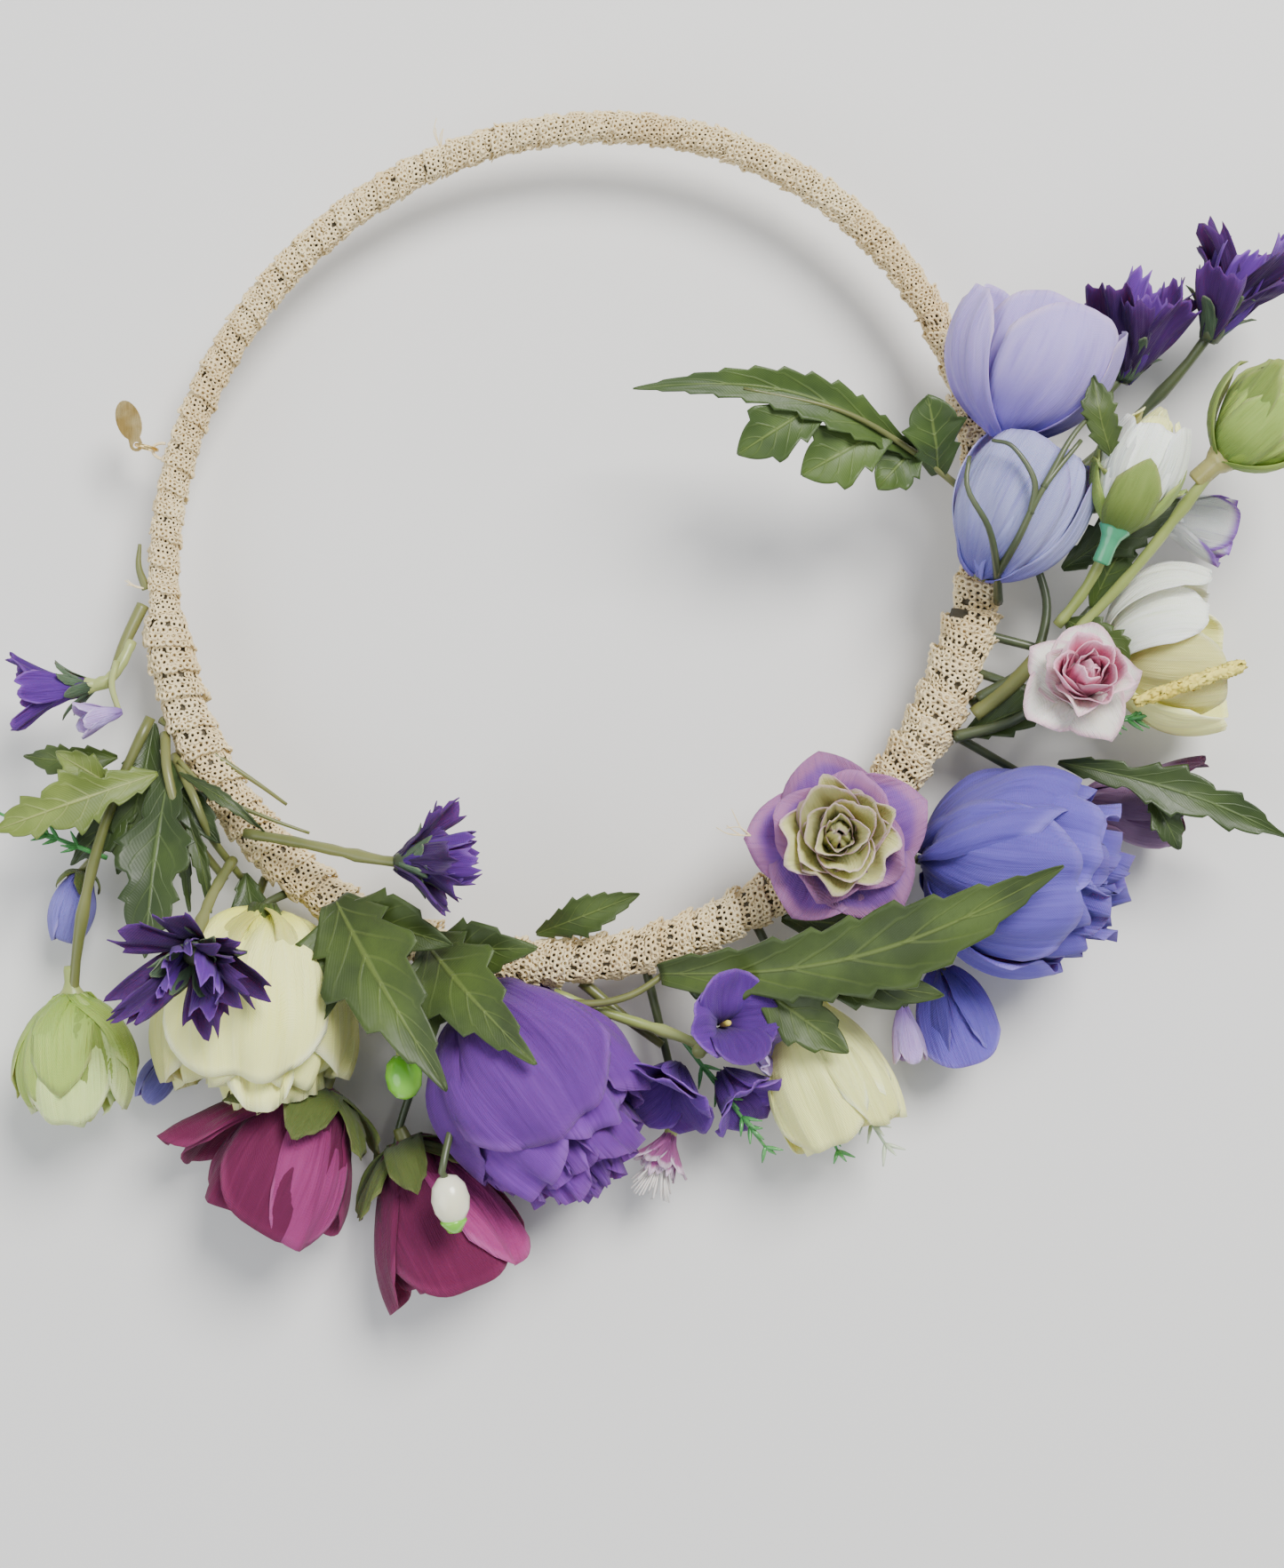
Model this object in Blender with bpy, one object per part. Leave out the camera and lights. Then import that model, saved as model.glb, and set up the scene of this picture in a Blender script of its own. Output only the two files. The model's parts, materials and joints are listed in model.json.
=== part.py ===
"""Flower crown: a wire hoop wound with crocheted lace that carries artificial flowers, buds and leaves.

The hoop lies in the XY plane with its centre at the origin, and +Z is up. The bare lace is at the back,
towards +Y, and the flowers run from the left side round the front to the right side. Every place is given
by its bearing round the hoop, the distance out from the hoop's centre line and the height over its plane.
"""

import math

import bmesh
import bpy
from mathutils import Matrix, Vector
from mathutils.geometry import interpolate_bezier

MM = 0.001

# The hoop: an oval of wire, a little longer across one diagonal.
HOOP_HALF_LENGTH = 96.7
HOOP_HALF_WIDTH = 89.4
HOOP_LONG_BEARING = 51.7
WIRE_RADIUS = 1.0
CLEARANCE = 0.3

# The lace winding: overlapping turns, thin at the bare back and thick where stems are bound in.
BACK_RADIUS = 3.5
LEFT_RADIUS = 5.0
FRONT_RADIUS = 5.0
RIGHT_RADIUS = 6.3
TURN_LENGTH = 10.0
TURN_STEP = 0.5
TURN_EDGE = 0.03
JOINT_GAP = 0.35
BORE_STEP = 10.0
LACE_SIDES = 12
BORE_SIDES = 6
TANGENT_STEP = 0.5

# The maker's tag: a thread loop sewn to the lace, a jump ring in it and an oval tag on the ring.
TAG_BEARING = 167.2
LOOP_REACH = 2.6
LOOP_HALF_WIDTH = 1.8
LOOP_THREAD = 0.35
RING_RADIUS = 2.4
RING_WIRE = 0.4
TAG_LENGTH = 9.3
TAG_WIDTH = 5.5
TAG_THICKNESS = 0.8
TAG_HOLE = 0.75
TAG_EDGE = 0.7
TAG_TURN = -60.0
OVAL_STEPS = 10
OVAL_HALF_SWEEP = 152.0
EYE_STEPS = 9
EYE_START = 75.0

# Stems and the sockets that push into the flowers.
STEM_RADIUS = 1.2
SOCKET_RADIUS = 2.6
SOCKET_LENGTH = 4.0
NUB_RADIUS = 1.0
NUB_LENGTH = 2.4
HOLE_RADIUS = 1.4
HOLE_DEPTH = 3.0
SEAT_GAP = 0.4
SOCKET_TAPER = 0.55
SOCKET_STEP = 0.05
STEM_STRAIGHT = 2.5

# A short flower keeps its socket, nub and hole to these shares of its length.
SOCKET_SHARE = 0.4
NUB_SHARE = 0.2
HOLE_SHARE = 0.3

# Leaves.
LEAF_THICKNESS = 0.8
LEAF_ROOT_SHARE = 0.14
LEAF_BELLY = 0.8
LEAF_FOLD = 0.2

# How deep the petals cut into a head's edge, how far from the stem hole that starts, and where the head
# begins to flatten, as shares of its radius.
LOBE_DEPTH = 0.09
LOBE_START = 1.5 * HOLE_RADIUS
FLAT_START = 0.2
FLAT_FULL = 0.5

# The silhouettes that are spun round a flower's axis: share of its radius, share of its length.
CUP = ((0.24, 0.0), (0.62, 0.16), (0.86, 0.42), (1.0, 0.86), (0.9, 1.0), (0.62, 0.88), (0.3, 0.78), (0.0, 0.75))
BALL = ((0.24, 0.0), (0.72, 0.12), (1.0, 0.48), (0.92, 0.86), (0.7, 1.0), (0.36, 0.86), (0.0, 0.8))
BUD = ((0.3, 0.0), (0.8, 0.16), (1.0, 0.42), (0.84, 0.74), (0.42, 0.94), (0.0, 1.0))
STAR = ((0.2, 0.0), (0.46, 0.34), (1.0, 0.78), (0.92, 1.0), (0.4, 0.66), (0.0, 0.6))
FORMS = {"cup": CUP, "ball": BALL, "bud": BUD, "star": STAR}

# Facets round a head: few on a small one, else a multiple of its petals.
SMALL_HEAD = 14.0
SMALL_SIDES = 10
SIDES_BY_PETALS = {3: 15, 4: 12, 5: 15}
MOST_SIDES = 18

# Each flower: form, bearing, out, up, turn from straight out, rise, length, width, flatness, petals, colour.
FLOWERS = {
    "lavender_upper": ("cup", 13.5, 4.0, 15.0, 58, 8, 28.0, 32.0, 0.56, 3, (0.62, 0.55, 0.78)),
    "lavender_lower": ("cup", 355.6, -0.5, 13.0, 68, 6, 27.0, 26.0, 0.56, 3, (0.52, 0.50, 0.82)),
    "white_rosebud": ("bud", 1.0, 26.0, 18.0, 68, 8, 25.0, 18.0, 1.0, 5, (0.93, 0.95, 0.88)),
    "green_bud_right": ("bud", 7.1, 50.4, 17.0, 35, 16, 22.0, 22.0, 1.0, 5, (0.50, 0.78, 0.30)),
    "cornflower_near": ("cup", 17.2, 35.0, 1.0, 58, 6, 19.0, 22.0, 0.7, 5, (0.22, 0.14, 0.45)),
    "cornflower_far": ("cup", 18.0, 54.5, 8.0, 52, 12, 20.0, 21.0, 1.0, 5, (0.20, 0.12, 0.42)),
    "white_pansy": ("star", 3.5, 39.5, -3.0, -20, 4, 17.0, 18.0, 0.7, 5, (0.90, 0.88, 0.96)),
    "calla": ("cup", 347.9, 33.0, 0.0, 13, 14, 24.0, 26.0, 0.7, 3, (0.90, 0.94, 0.80)),
    "pink_rosebud": ("ball", 342.6, 25.0, 11.0, 100, 74, 22.0, 24.0, 1.0, 5, (0.90, 0.62, 0.68)),
    "mauve_pansy": ("star", 333.6, 40.0, -5.0, 21, 4, 20.0, 19.0, 0.6, 5, (0.58, 0.34, 0.56)),
    "blue_peony": ("ball", 318.6, 17.0, 8.0, 37, 8, 36.0, 38.0, 0.66, 6, (0.30, 0.36, 0.74)),
    "blue_anemone": ("cup", 310.8, 37.0, -2.0, -24, 4, 22.0, 20.0, 0.6, 5, (0.34, 0.40, 0.78)),
    "lilac_floret": ("star", 305.4, 37.0, 4.0, -27, 4, 12.0, 10.0, 0.9, 5, (0.72, 0.64, 0.84)),
    "rose": ("ball", 311.6, -0.8, 9.0, 168, 83, 22.0, 37.0, 1.0, 6, (0.66, 0.42, 0.66)),
    "ivory_tulip": ("cup", 295.7, 21.0, 3.0, -3, 2, 34.0, 28.0, 0.72, 3, (0.93, 0.94, 0.82)),
    "violet_floret": ("star", 283.9, 24.0, 8.0, -5, 70, 13.0, 26.0, 1.0, 5, (0.40, 0.20, 0.62)),
    "pink_daisy": ("star", 279.6, 41.0, -2.0, -30, 4, 13.0, 12.0, 0.9, 6, (0.93, 0.74, 0.80)),
    "violet_peony": ("ball", 258.4, 10.5, 7.0, 48, 5, 42.0, 38.0, 0.68, 6, (0.42, 0.24, 0.66)),
    "snowdrop_bud": ("bud", 259.1, 46.0, 21.0, 19, -3, 12.0, 9.0, 1.0, 3, (0.96, 0.97, 0.94)),
    "berry": ("bud", 251.8, 23.0, 16.0, 24, 0, 10.0, 8.0, 1.0, 4, (0.36, 0.75, 0.16)),
    "magenta_right": ("cup", 254.3, 45.0, -1.0, 38, 3, 32.0, 33.0, 0.6, 4, (0.62, 0.12, 0.42)),
    "magenta_left": ("cup", 245.3, 39.0, 1.0, -4, 2, 30.0, 36.0, 0.6, 4, (0.50, 0.10, 0.36)),
    "ivory_peony": ("ball", 230.9, 13.0, 5.0, 36, 1, 34.0, 37.0, 0.62, 6, (0.95, 0.90, 0.70)),
    "cornflower_hanging": ("cup", 227.6, 22.0, 26.0, 46, 58, 13.0, 28.0, 1.0, 5, (0.22, 0.12, 0.40)),
    "green_bud_left": ("bud", 222.2, 54.0, 6.0, 51, 0, 28.0, 25.0, 1.0, 5, (0.62, 0.85, 0.40)),
    "blue_bud_left": ("bud", 213.4, 38.0, -4.0, 44, 0, 16.0, 13.0, 1.0, 4, (0.24, 0.26, 0.66)),
    "blue_low_left": ("bud", 231.6, 49.0, -6.0, 6, 0, 14.0, 9.5, 1.0, 4, (0.26, 0.28, 0.66)),
    "floret_left": ("star", 196.6, 18.0, 6.0, -9, 6, 16.0, 18.0, 1.0, 5, (0.46, 0.26, 0.64)),
    "lilac_small": ("star", 201.2, 11.0, 16.5, -9, 22, 9.0, 8.0, 1.0, 5, (0.72, 0.64, 0.84)),
    "cornflower_inner": ("cup", 242.1, -16.0, 18.0, 123, 5, 16.0, 21.0, 0.9, 5, (0.22, 0.12, 0.42)),
}

# Flowers whose socket turns in them, so they are spun without petal lobes that could catch.
TURNING = ("white_rosebud", "green_bud_right", "cornflower_far", "green_bud_left", "floret_left")

# Each stem: the free points it runs through as (bearing, out, up), then the flower it holds.
STEMS = {
    "stem_white_rosebud": (((349.6, 17.8, 7.5), (354.0, 22.0, 11.0)), "white_rosebud"),
    "stem_green_bud_right": (((349.2, 21.8, 6.5), (357.5, 34.0, 11.0)), "green_bud_right"),
    "stem_cornflower_near": (((12.0, 6.6, -1.5), (15.2, 23.0, 0.0)), "cornflower_near"),
    "stem_cornflower_far": (((2.5, 7.6, -2.0), (11.0, 31.0, -3.0), (15.0, 45.0, 0.0)), "cornflower_far"),
    "stem_green_bud_left": (((202.4, 7.6, 3.0), (207.5, 20.0, 4.5), (216.0, 37.5, 8.0)), "green_bud_left"),
    "stem_floret_left": (((192.0, 7.4, 2.0), (194.0, 10.0, 4.0)), "floret_left"),
    "stem_cornflower_hanging": (((223.0, 6.8, 5.0), (224.5, 13.0, 17.0)), "cornflower_hanging"),
    "stem_cornflower_inner": (((219.0, 6.6, 4.5), (222.0, 0.5, 9.5), (233.0, -12.0, 15.0)), "cornflower_inner"),
    "stem_berry": (((247.5, 6.6, 4.0), (249.0, 12.0, 14.0)), "berry"),
    "stem_violet_floret": (((266.6, 6.6, 2.0), (276.5, 15.0, 2.0)), "violet_floret"),
}
BRANCH = ((336.0, 8.2, 2.0), (342.0, 13.0, 3.0), (347.6, 17.2, 4.5))
BRANCH_RADIUS = 1.7

# Each leaf: root place, tip place, width, arch over its chord, sideways sweep, colour.
LEAVES = {
    "fern_leaf": ((10.0, -8.5, 8.0), (66.0, -64.0, 26.0), 15.0, 6.0, -6.0, (0.24, 0.42, 0.12)),
    "big_leaf": ((281.5, 7.0, 7.0), (324.8, 33.0, 37.0), 17.0, 3.0, -9.0, (0.30, 0.46, 0.14)),
    "maple_leaf_left": ((236.6, -1.0, 8.0), (255.8, 24.0, 27.0), 13.0, 4.0, 0.0, (0.22, 0.36, 0.12)),
    "maple_leaf_right": ((250.0, -1.0, 9.0), (264.5, 17.0, 29.0), 12.0, 5.0, 0.0, (0.24, 0.40, 0.12)),
    "upper_left_leaf": ((208.6, 13.0, 8.5), (207.4, 44.0, 15.0), 11.0, 2.0, 0.0, (0.52, 0.68, 0.22)),
    "hanging_left_leaf": ((208.4, 6.6, 4.0), (224.0, 30.0, 18.0), 13.0, 3.0, 0.0, (0.14, 0.24, 0.10)),
    "right_leaf": ((335.6, 29.0, 5.0), (337.1, 79.0, 9.0), 11.0, 2.0, 0.0, (0.28, 0.44, 0.16)),
    "inner_leaf": ((264.5, -6.4, 2.0), (279.4, -12.0, 6.0), 7.0, 2.0, 0.0, (0.24, 0.40, 0.12)),
}

# The spike in the calla, and how far its two ends are drawn in.
SPADIX_START = (344.4, 40.0, 15.5)
SPADIX_END = (349.2, 58.0, 18.0)
SPADIX_RADIUS = 1.4
SPADIX_END_SHARE = 0.7

LACE_COLOUR = (0.83, 0.77, 0.64)
WIRE_COLOUR = (0.35, 0.36, 0.34)
STEM_COLOUR = (0.32, 0.36, 0.12)
BRASS_COLOUR = (0.80, 0.60, 0.26)
THREAD_COLOUR = (0.80, 0.74, 0.60)
SPADIX_COLOUR = (0.90, 0.66, 0.12)


def hoop_radius(bearing):
    """Distance from the centre to the hoop's centre line, in millimetres."""
    angle = math.radians(bearing - HOOP_LONG_BEARING)
    across = math.hypot(HOOP_HALF_WIDTH * math.cos(angle), HOOP_HALF_LENGTH * math.sin(angle))
    return HOOP_HALF_LENGTH * HOOP_HALF_WIDTH / across


def place(bearing, out, up):
    """A point by its bearing, the distance out from the hoop's centre line and the height over it."""
    radius = hoop_radius(bearing) + out
    angle = math.radians(bearing)
    return Vector((radius * math.cos(angle), radius * math.sin(angle), up)) * MM


def heading(bearing, turn, rise):
    """The direction of a flower that is turned away from straight out, and raised."""
    angle = math.radians(bearing + turn)
    flat = math.cos(math.radians(rise))
    return Vector((flat * math.cos(angle), flat * math.sin(angle), math.sin(math.radians(rise))))


def frame_along(axis):
    """A rotation that takes Z to the axis and keeps X level."""
    side = Vector((0, 0, 1)).cross(axis)
    side = side.normalized() if side.length > 1e-6 else Vector((1, 0, 0))
    return Matrix((side, axis.cross(side), axis)).transposed()


def material(name, colour, roughness, metallic=0.0):
    """A plain Principled material of this colour."""
    made = bpy.data.materials.new(name)
    made.use_nodes = True
    shader = made.node_tree.nodes["Principled BSDF"]
    shader.inputs["Base Color"].default_value = (*colour, 1.0)
    shader.inputs["Roughness"].default_value = roughness
    shader.inputs["Metallic"].default_value = metallic
    made.diffuse_color = (*colour, 1.0)
    return made


def add_object(name, data, look):
    """A named object in the scene that holds this mesh or curve."""
    data.materials.append(look)
    made = bpy.data.objects.new(name, data)
    bpy.context.scene.collection.objects.link(made)
    return made


def mesh_object(name, bm, look, smooth=True):
    """Closes the bmesh into an object whose faces point outwards."""
    bmesh.ops.recalc_face_normals(bm, faces=bm.faces)
    data = bpy.data.meshes.new(name)
    bm.to_mesh(data)
    bm.free()
    for polygon in data.polygons:
        polygon.use_smooth = smooth
    return add_object(name, data, look)


def curve_object(name, points, radii, look, cyclic=False, sides=8):
    """A round rod through these points, with filled ends unless it is a loop."""
    data = bpy.data.curves.new(name, "CURVE")
    data.dimensions = "3D"
    data.bevel_depth = 1.0 * MM
    data.bevel_resolution = (sides - 4) // 2
    data.use_fill_caps = not cyclic
    spline = data.splines.new("POLY")
    spline.points.add(len(points) - 1)
    spline.use_cyclic_u = cyclic
    for point, co, radius in zip(spline.points, points, radii):
        point.co = (*co, 1.0)
        point.radius = radius
    spline.use_smooth = True
    return add_object(name, data, look)


def smooth_path(points, steps):
    """Points on a smooth line through these ones."""
    path = [points[0]]
    for i in range(len(points) - 1):
        before = points[max(i - 1, 0)]
        start = points[i]
        end = points[i + 1]
        after = points[min(i + 2, len(points) - 1)]
        leave = start + (end - before) / 6
        arrive = end - (after - start) / 6
        path += interpolate_bezier(start, leave, arrive, end, steps + 1)[1:]
    return path


def hinge_empty(name, where):
    """An empty on a joint's axis, to which the pieces that bend there are parented."""
    empty = bpy.data.objects.new(name, None)
    empty.empty_display_size = 4 * MM
    empty.location = where
    bpy.context.scene.collection.objects.link(empty)
    return empty


def hang_on(empty, pieces):
    """Parents the pieces to the empty without moving them."""
    for piece in pieces:
        piece.parent = empty
        piece.matrix_parent_inverse = Matrix.Translation(empty.location).inverted()


def clear_scene():
    for old in list(bpy.data.objects):
        bpy.data.objects.remove(old, do_unlink=True)


def build_wire():
    """The closed wire hoop inside the lace."""
    steps = 60
    points = [place(360 * i / steps, 0, 0) for i in range(steps)]
    look = material("hoop_wire", WIRE_COLOUR, 0.4, 1.0)
    return curve_object("hoop_wire", points, [WIRE_RADIUS] * steps, look, cyclic=True, sides=6)


def section_matrix(bearing):
    """The place and slant of a section square to the hoop's centre line."""
    along = (place(bearing + TANGENT_STEP, 0, 0) - place(bearing - TANGENT_STEP, 0, 0)).normalized()
    return Matrix.Translation(place(bearing, 0, 0)) @ frame_along(along).to_4x4()


def sweep_tube(bm, stations, sides):
    """Carries a circle along the hoop through (bearing, radius) stations; returns its first and last edges."""
    bearing, radius = stations[0]
    matrix = section_matrix(bearing)
    made = bmesh.ops.create_circle(bm, cap_ends=False, radius=radius * MM, segments=sides, matrix=matrix)
    edges = list({edge for vert in made["verts"] for edge in vert.link_edges})
    first = edges
    for next_bearing, next_radius in stations[1:]:
        out = bmesh.ops.extrude_edge_only(bm, edges=edges)["geom"]
        carry = section_matrix(next_bearing) @ Matrix.Scale(next_radius / radius, 4) @ matrix.inverted()
        bmesh.ops.transform(bm, matrix=carry, verts=[v for v in out if isinstance(v, bmesh.types.BMVert)])
        edges = [e for e in out if isinstance(e, bmesh.types.BMEdge)]
        matrix = section_matrix(next_bearing)
        radius = next_radius
    return first, edges


def lace_section(name, start, end, start_radius, end_radius, look):
    """One length of the winding: a bored tube whose overlapping turns step down like shingles."""
    length = math.radians(end - start) * (HOOP_HALF_LENGTH + HOOP_HALF_WIDTH) / 2
    turns = max(2, round(length / TURN_LENGTH))
    outer = []
    for i in range(turns):
        for share, step in ((TURN_EDGE, TURN_STEP / 2), (1 - TURN_EDGE, -TURN_STEP / 2)):
            along = (i + share) / turns
            if i == 0 and step > 0:
                along = 0.0
            if i == turns - 1 and step < 0:
                along = 1.0
            radius = start_radius + (end_radius - start_radius) * along
            outer.append((start + (end - start) * along, radius + step))
    bore_steps = max(4, round(length / BORE_STEP))
    bore_radius = (WIRE_RADIUS + CLEARANCE) / math.cos(math.pi / BORE_SIDES)
    bore = [(start + (end - start) * i / bore_steps, bore_radius) for i in range(bore_steps + 1)]
    bm = bmesh.new()
    outer_start, outer_end = sweep_tube(bm, outer, LACE_SIDES)
    bore_start, bore_end = sweep_tube(bm, bore, BORE_SIDES)
    bmesh.ops.triangle_fill(bm, use_beauty=True, edges=outer_start + bore_start)
    bmesh.ops.triangle_fill(bm, use_beauty=True, edges=outer_end + bore_end)
    return mesh_object(name, bm, look)


def build_lace():
    """The winding in six lengths, from the right end of the bare back round to the right side."""
    lengths = (
        ("lace_back_right", 33.0, 112.0, BACK_RADIUS, BACK_RADIUS),
        ("lace_back_left", 112.0, 190.0, BACK_RADIUS, BACK_RADIUS),
        ("lace_left", 190.0, 238.0, LEFT_RADIUS, FRONT_RADIUS),
        ("lace_front", 238.0, 300.0, FRONT_RADIUS, FRONT_RADIUS),
        ("lace_right_lower", 300.0, 350.0, FRONT_RADIUS, RIGHT_RADIUS),
        ("lace_right_upper", 350.0, 393.0, FRONT_RADIUS, BACK_RADIUS),
    )
    gap = math.degrees(JOINT_GAP / HOOP_HALF_WIDTH) / 2
    for name, start, end, start_radius, end_radius in lengths:
        look = material(name, LACE_COLOUR, 0.9)
        lace_section(name, start + gap, end - gap, start_radius, end_radius, look)


def flower_profile(form, radius, length, holed):
    """The silhouette in millimetres, from the centre of the base round to the axis at the front."""
    profile = [(radius * share, length * height) for share, height in FORMS[form]]
    if not holed:
        return [(0.0, 0.0)] + profile
    depth = min(HOLE_DEPTH, HOLE_SHARE * length)
    return [(0.0, depth), (HOLE_RADIUS, depth), (HOLE_RADIUS, 0.0)] + profile


def spin_flower(form, radius, length, flatness, petals, sides, holed, lobed):
    """A closed flower head round its own Z axis, with its edge drawn into petals."""
    bm = bmesh.new()
    profile = flower_profile(form, radius, length, holed)
    verts = [bm.verts.new((r * MM, 0, h * MM)) for r, h in profile]
    edges = [bm.edges.new(pair) for pair in zip(verts, verts[1:])]
    bmesh.ops.spin(
        bm, geom=verts + edges, cent=(0, 0, 0), axis=(0, 0, 1), angle=math.tau, steps=sides, use_duplicate=False
    )
    bmesh.ops.remove_doubles(bm, verts=bm.verts, dist=1e-6)
    lobe = LOBE_DEPTH if lobed else 0.0
    for vert in bm.verts:
        reach = math.hypot(vert.co.x, vert.co.y)
        if reach < LOBE_START * MM:
            continue
        wave = math.cos(petals * math.atan2(vert.co.y, vert.co.x))
        share = reach / (radius * MM)
        grow = 1 - lobe * share * (1 - wave)
        vert.co.x *= grow
        vert.co.y *= grow
        flatten = min(1.0, max(0.0, (share - FLAT_START) / (FLAT_FULL - FLAT_START)))
        vert.co.y *= 1 - (1 - flatness) * flatten
    return bm


def build_flowers():
    """Every flower head, its base at its place and its axis along its heading."""
    held = {flower for _, flower in STEMS.values()}
    made = {}
    for name, row in FLOWERS.items():
        form, bearing, out, up, turn, rise, length, width, flatness, petals, colour = row
        sides = SMALL_SIDES if width < SMALL_HEAD else SIDES_BY_PETALS.get(petals, MOST_SIDES)
        lobed = name not in TURNING
        bm = spin_flower(form, width / 2, length, flatness, petals, sides, name in held, lobed)
        flower = mesh_object(name, bm, material(name, colour, 0.7))
        flower.location = place(bearing, out, up)
        flower.rotation_mode = "QUATERNION"
        flower.rotation_quaternion = frame_along(heading(bearing, turn, rise)).to_quaternion()
        made[name] = flower
    return made


def stem_rod(name, free, flower):
    """A stem through its free points that ends in a socket and a nub inside the flower's hole."""
    _, bearing, out, up, turn, rise, length, *_ = FLOWERS[flower]
    base = place(bearing, out, up)
    axis = heading(bearing, turn, rise)
    socket = min(SOCKET_LENGTH, SOCKET_SHARE * length)
    nub = min(NUB_LENGTH, NUB_SHARE * length)
    points = [place(*point) for point in free]
    points.append(base - axis * (socket + STEM_STRAIGHT) * MM)
    path = smooth_path(points, 3)
    radii = [STEM_RADIUS] * len(path)
    ends = (
        (socket, STEM_RADIUS),
        (SOCKET_TAPER * socket, SOCKET_RADIUS),
        (SEAT_GAP, SOCKET_RADIUS),
        (SEAT_GAP - SOCKET_STEP, NUB_RADIUS),
        (-nub, NUB_RADIUS),
    )
    for back, radius in ends:
        path.append(base - axis * back * MM)
        radii.append(radius)
    return curve_object(name, path, radii, material(name, STEM_COLOUR, 0.6))


def build_stems():
    """The branch on the right that forks into two stems, and every stem with its socket."""
    path = smooth_path([place(*point) for point in BRANCH], 3)
    curve_object("branch_right", path, [BRANCH_RADIUS] * len(path), material("branch_right", STEM_COLOUR, 0.6))
    return {name: stem_rod(name, free, flower) for name, (free, flower) in STEMS.items()}


def build_leaf(name, row):
    """A pointed blade, arched along its midrib and folded up a little to both sides."""
    root_place, tip_place, width, arch, sweep, colour = row
    root = place(*root_place)
    tip = place(*tip_place)
    chord = tip - root
    side = Vector((0, 0, 1)).cross(chord).normalized()
    lift = chord.cross(side).normalized()
    bm = bmesh.new()
    bmesh.ops.create_grid(bm, x_segments=2, y_segments=7, size=0.5)
    for vert in bm.verts:
        across = 2 * vert.co.x
        along = vert.co.y + 0.5
        half = width / 2 * (LEAF_ROOT_SHARE + (1 - LEAF_ROOT_SHARE) * math.sin(math.pi * along**LEAF_BELLY))
        bow = math.sin(math.pi * along)
        aside = across * half + sweep * bow
        height = arch * bow + LEAF_FOLD * abs(across) * half
        vert.co = root + chord * along + (side * aside + lift * height) * MM
    bmesh.ops.solidify(bm, geom=bm.faces[:], thickness=LEAF_THICKNESS * MM)
    return mesh_object(name, bm, material(name, colour, 0.7), smooth=False)


def build_spadix():
    """The grainy yellow spike that stands in front of the calla's petals."""
    path = smooth_path([place(*SPADIX_START), place(*SPADIX_END)], 4)
    radii = [SPADIX_RADIUS * (SPADIX_END_SHARE if i in (0, len(path) - 1) else 1.0) for i in range(len(path))]
    return curve_object("calla_spadix", path, radii, material("calla_spadix", SPADIX_COLOUR, 0.8))


def build_tag():
    """The thread loop, the jump ring through it and the oval tag on the ring."""
    outward = heading(TAG_BEARING, 0, 0)
    along = Vector((0, 0, 1)).cross(outward)
    surface = place(TAG_BEARING, BACK_RADIUS + TURN_STEP / 2 + CLEARANCE, 0)
    steps = 10
    points = []
    for i in range(steps + 1):
        angle = math.pi * i / steps
        side = along * (LOOP_HALF_WIDTH * math.cos(angle) * MM)
        points.append(surface + side + outward * (LOOP_REACH * math.sin(angle) * MM))
    thread = material("thread_loop", THREAD_COLOUR, 0.9)
    curve_object("thread_loop", points, [LOOP_THREAD] * len(points), thread, sides=6)

    bar = surface + outward * LOOP_REACH * MM
    near_side = LOOP_THREAD + CLEARANCE + RING_WIRE
    centre = bar + outward * (RING_RADIUS - near_side) * MM
    ring_points = []
    ring_steps = 20
    for i in range(ring_steps):
        angle = math.tau * i / ring_steps
        reach = outward * (RING_RADIUS * math.cos(angle) * MM)
        ring_points.append(centre + reach + Vector((0, 0, RING_RADIUS * math.sin(angle) * MM)))
    brass = material("jump_ring", BRASS_COLOUR, 0.25, 1.0)
    ring = curve_object("jump_ring", ring_points, [RING_WIRE] * ring_steps, brass, cyclic=True)

    hole = centre + outward * RING_RADIUS * MM
    tag = build_tag_plate()
    tag.location = hole
    tag.rotation_euler = (0, 0, math.radians(TAG_BEARING + TAG_TURN))
    swing = hinge_empty("ring_hinge", bar)
    hang_on(swing, (ring, tag))


def tag_outline():
    """The oval with the small eye at one end of it, round the hole at the origin."""
    eye = TAG_HOLE + TAG_EDGE
    centre = TAG_HOLE + TAG_EDGE / 2 + TAG_LENGTH / 2
    outline = []
    for i in range(-OVAL_STEPS, OVAL_STEPS + 1):
        angle = math.radians(OVAL_HALF_SWEEP) * i / OVAL_STEPS
        outline.append((centre + TAG_LENGTH / 2 * math.cos(angle), TAG_WIDTH / 2 * math.sin(angle)))
    for i in range(EYE_STEPS):
        angle = math.radians(EYE_START + (360 - 2 * EYE_START) * i / (EYE_STEPS - 1))
        outline.append((eye * math.cos(angle), eye * math.sin(angle)))
    return outline


def loop_at(bm, outline, height):
    """A closed loop of edges through these corners at this height."""
    verts = [bm.verts.new((x * MM, y * MM, height * MM)) for x, y in outline]
    return [bm.edges.new((verts[i - 1], verts[i])) for i in range(len(verts))]


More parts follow.
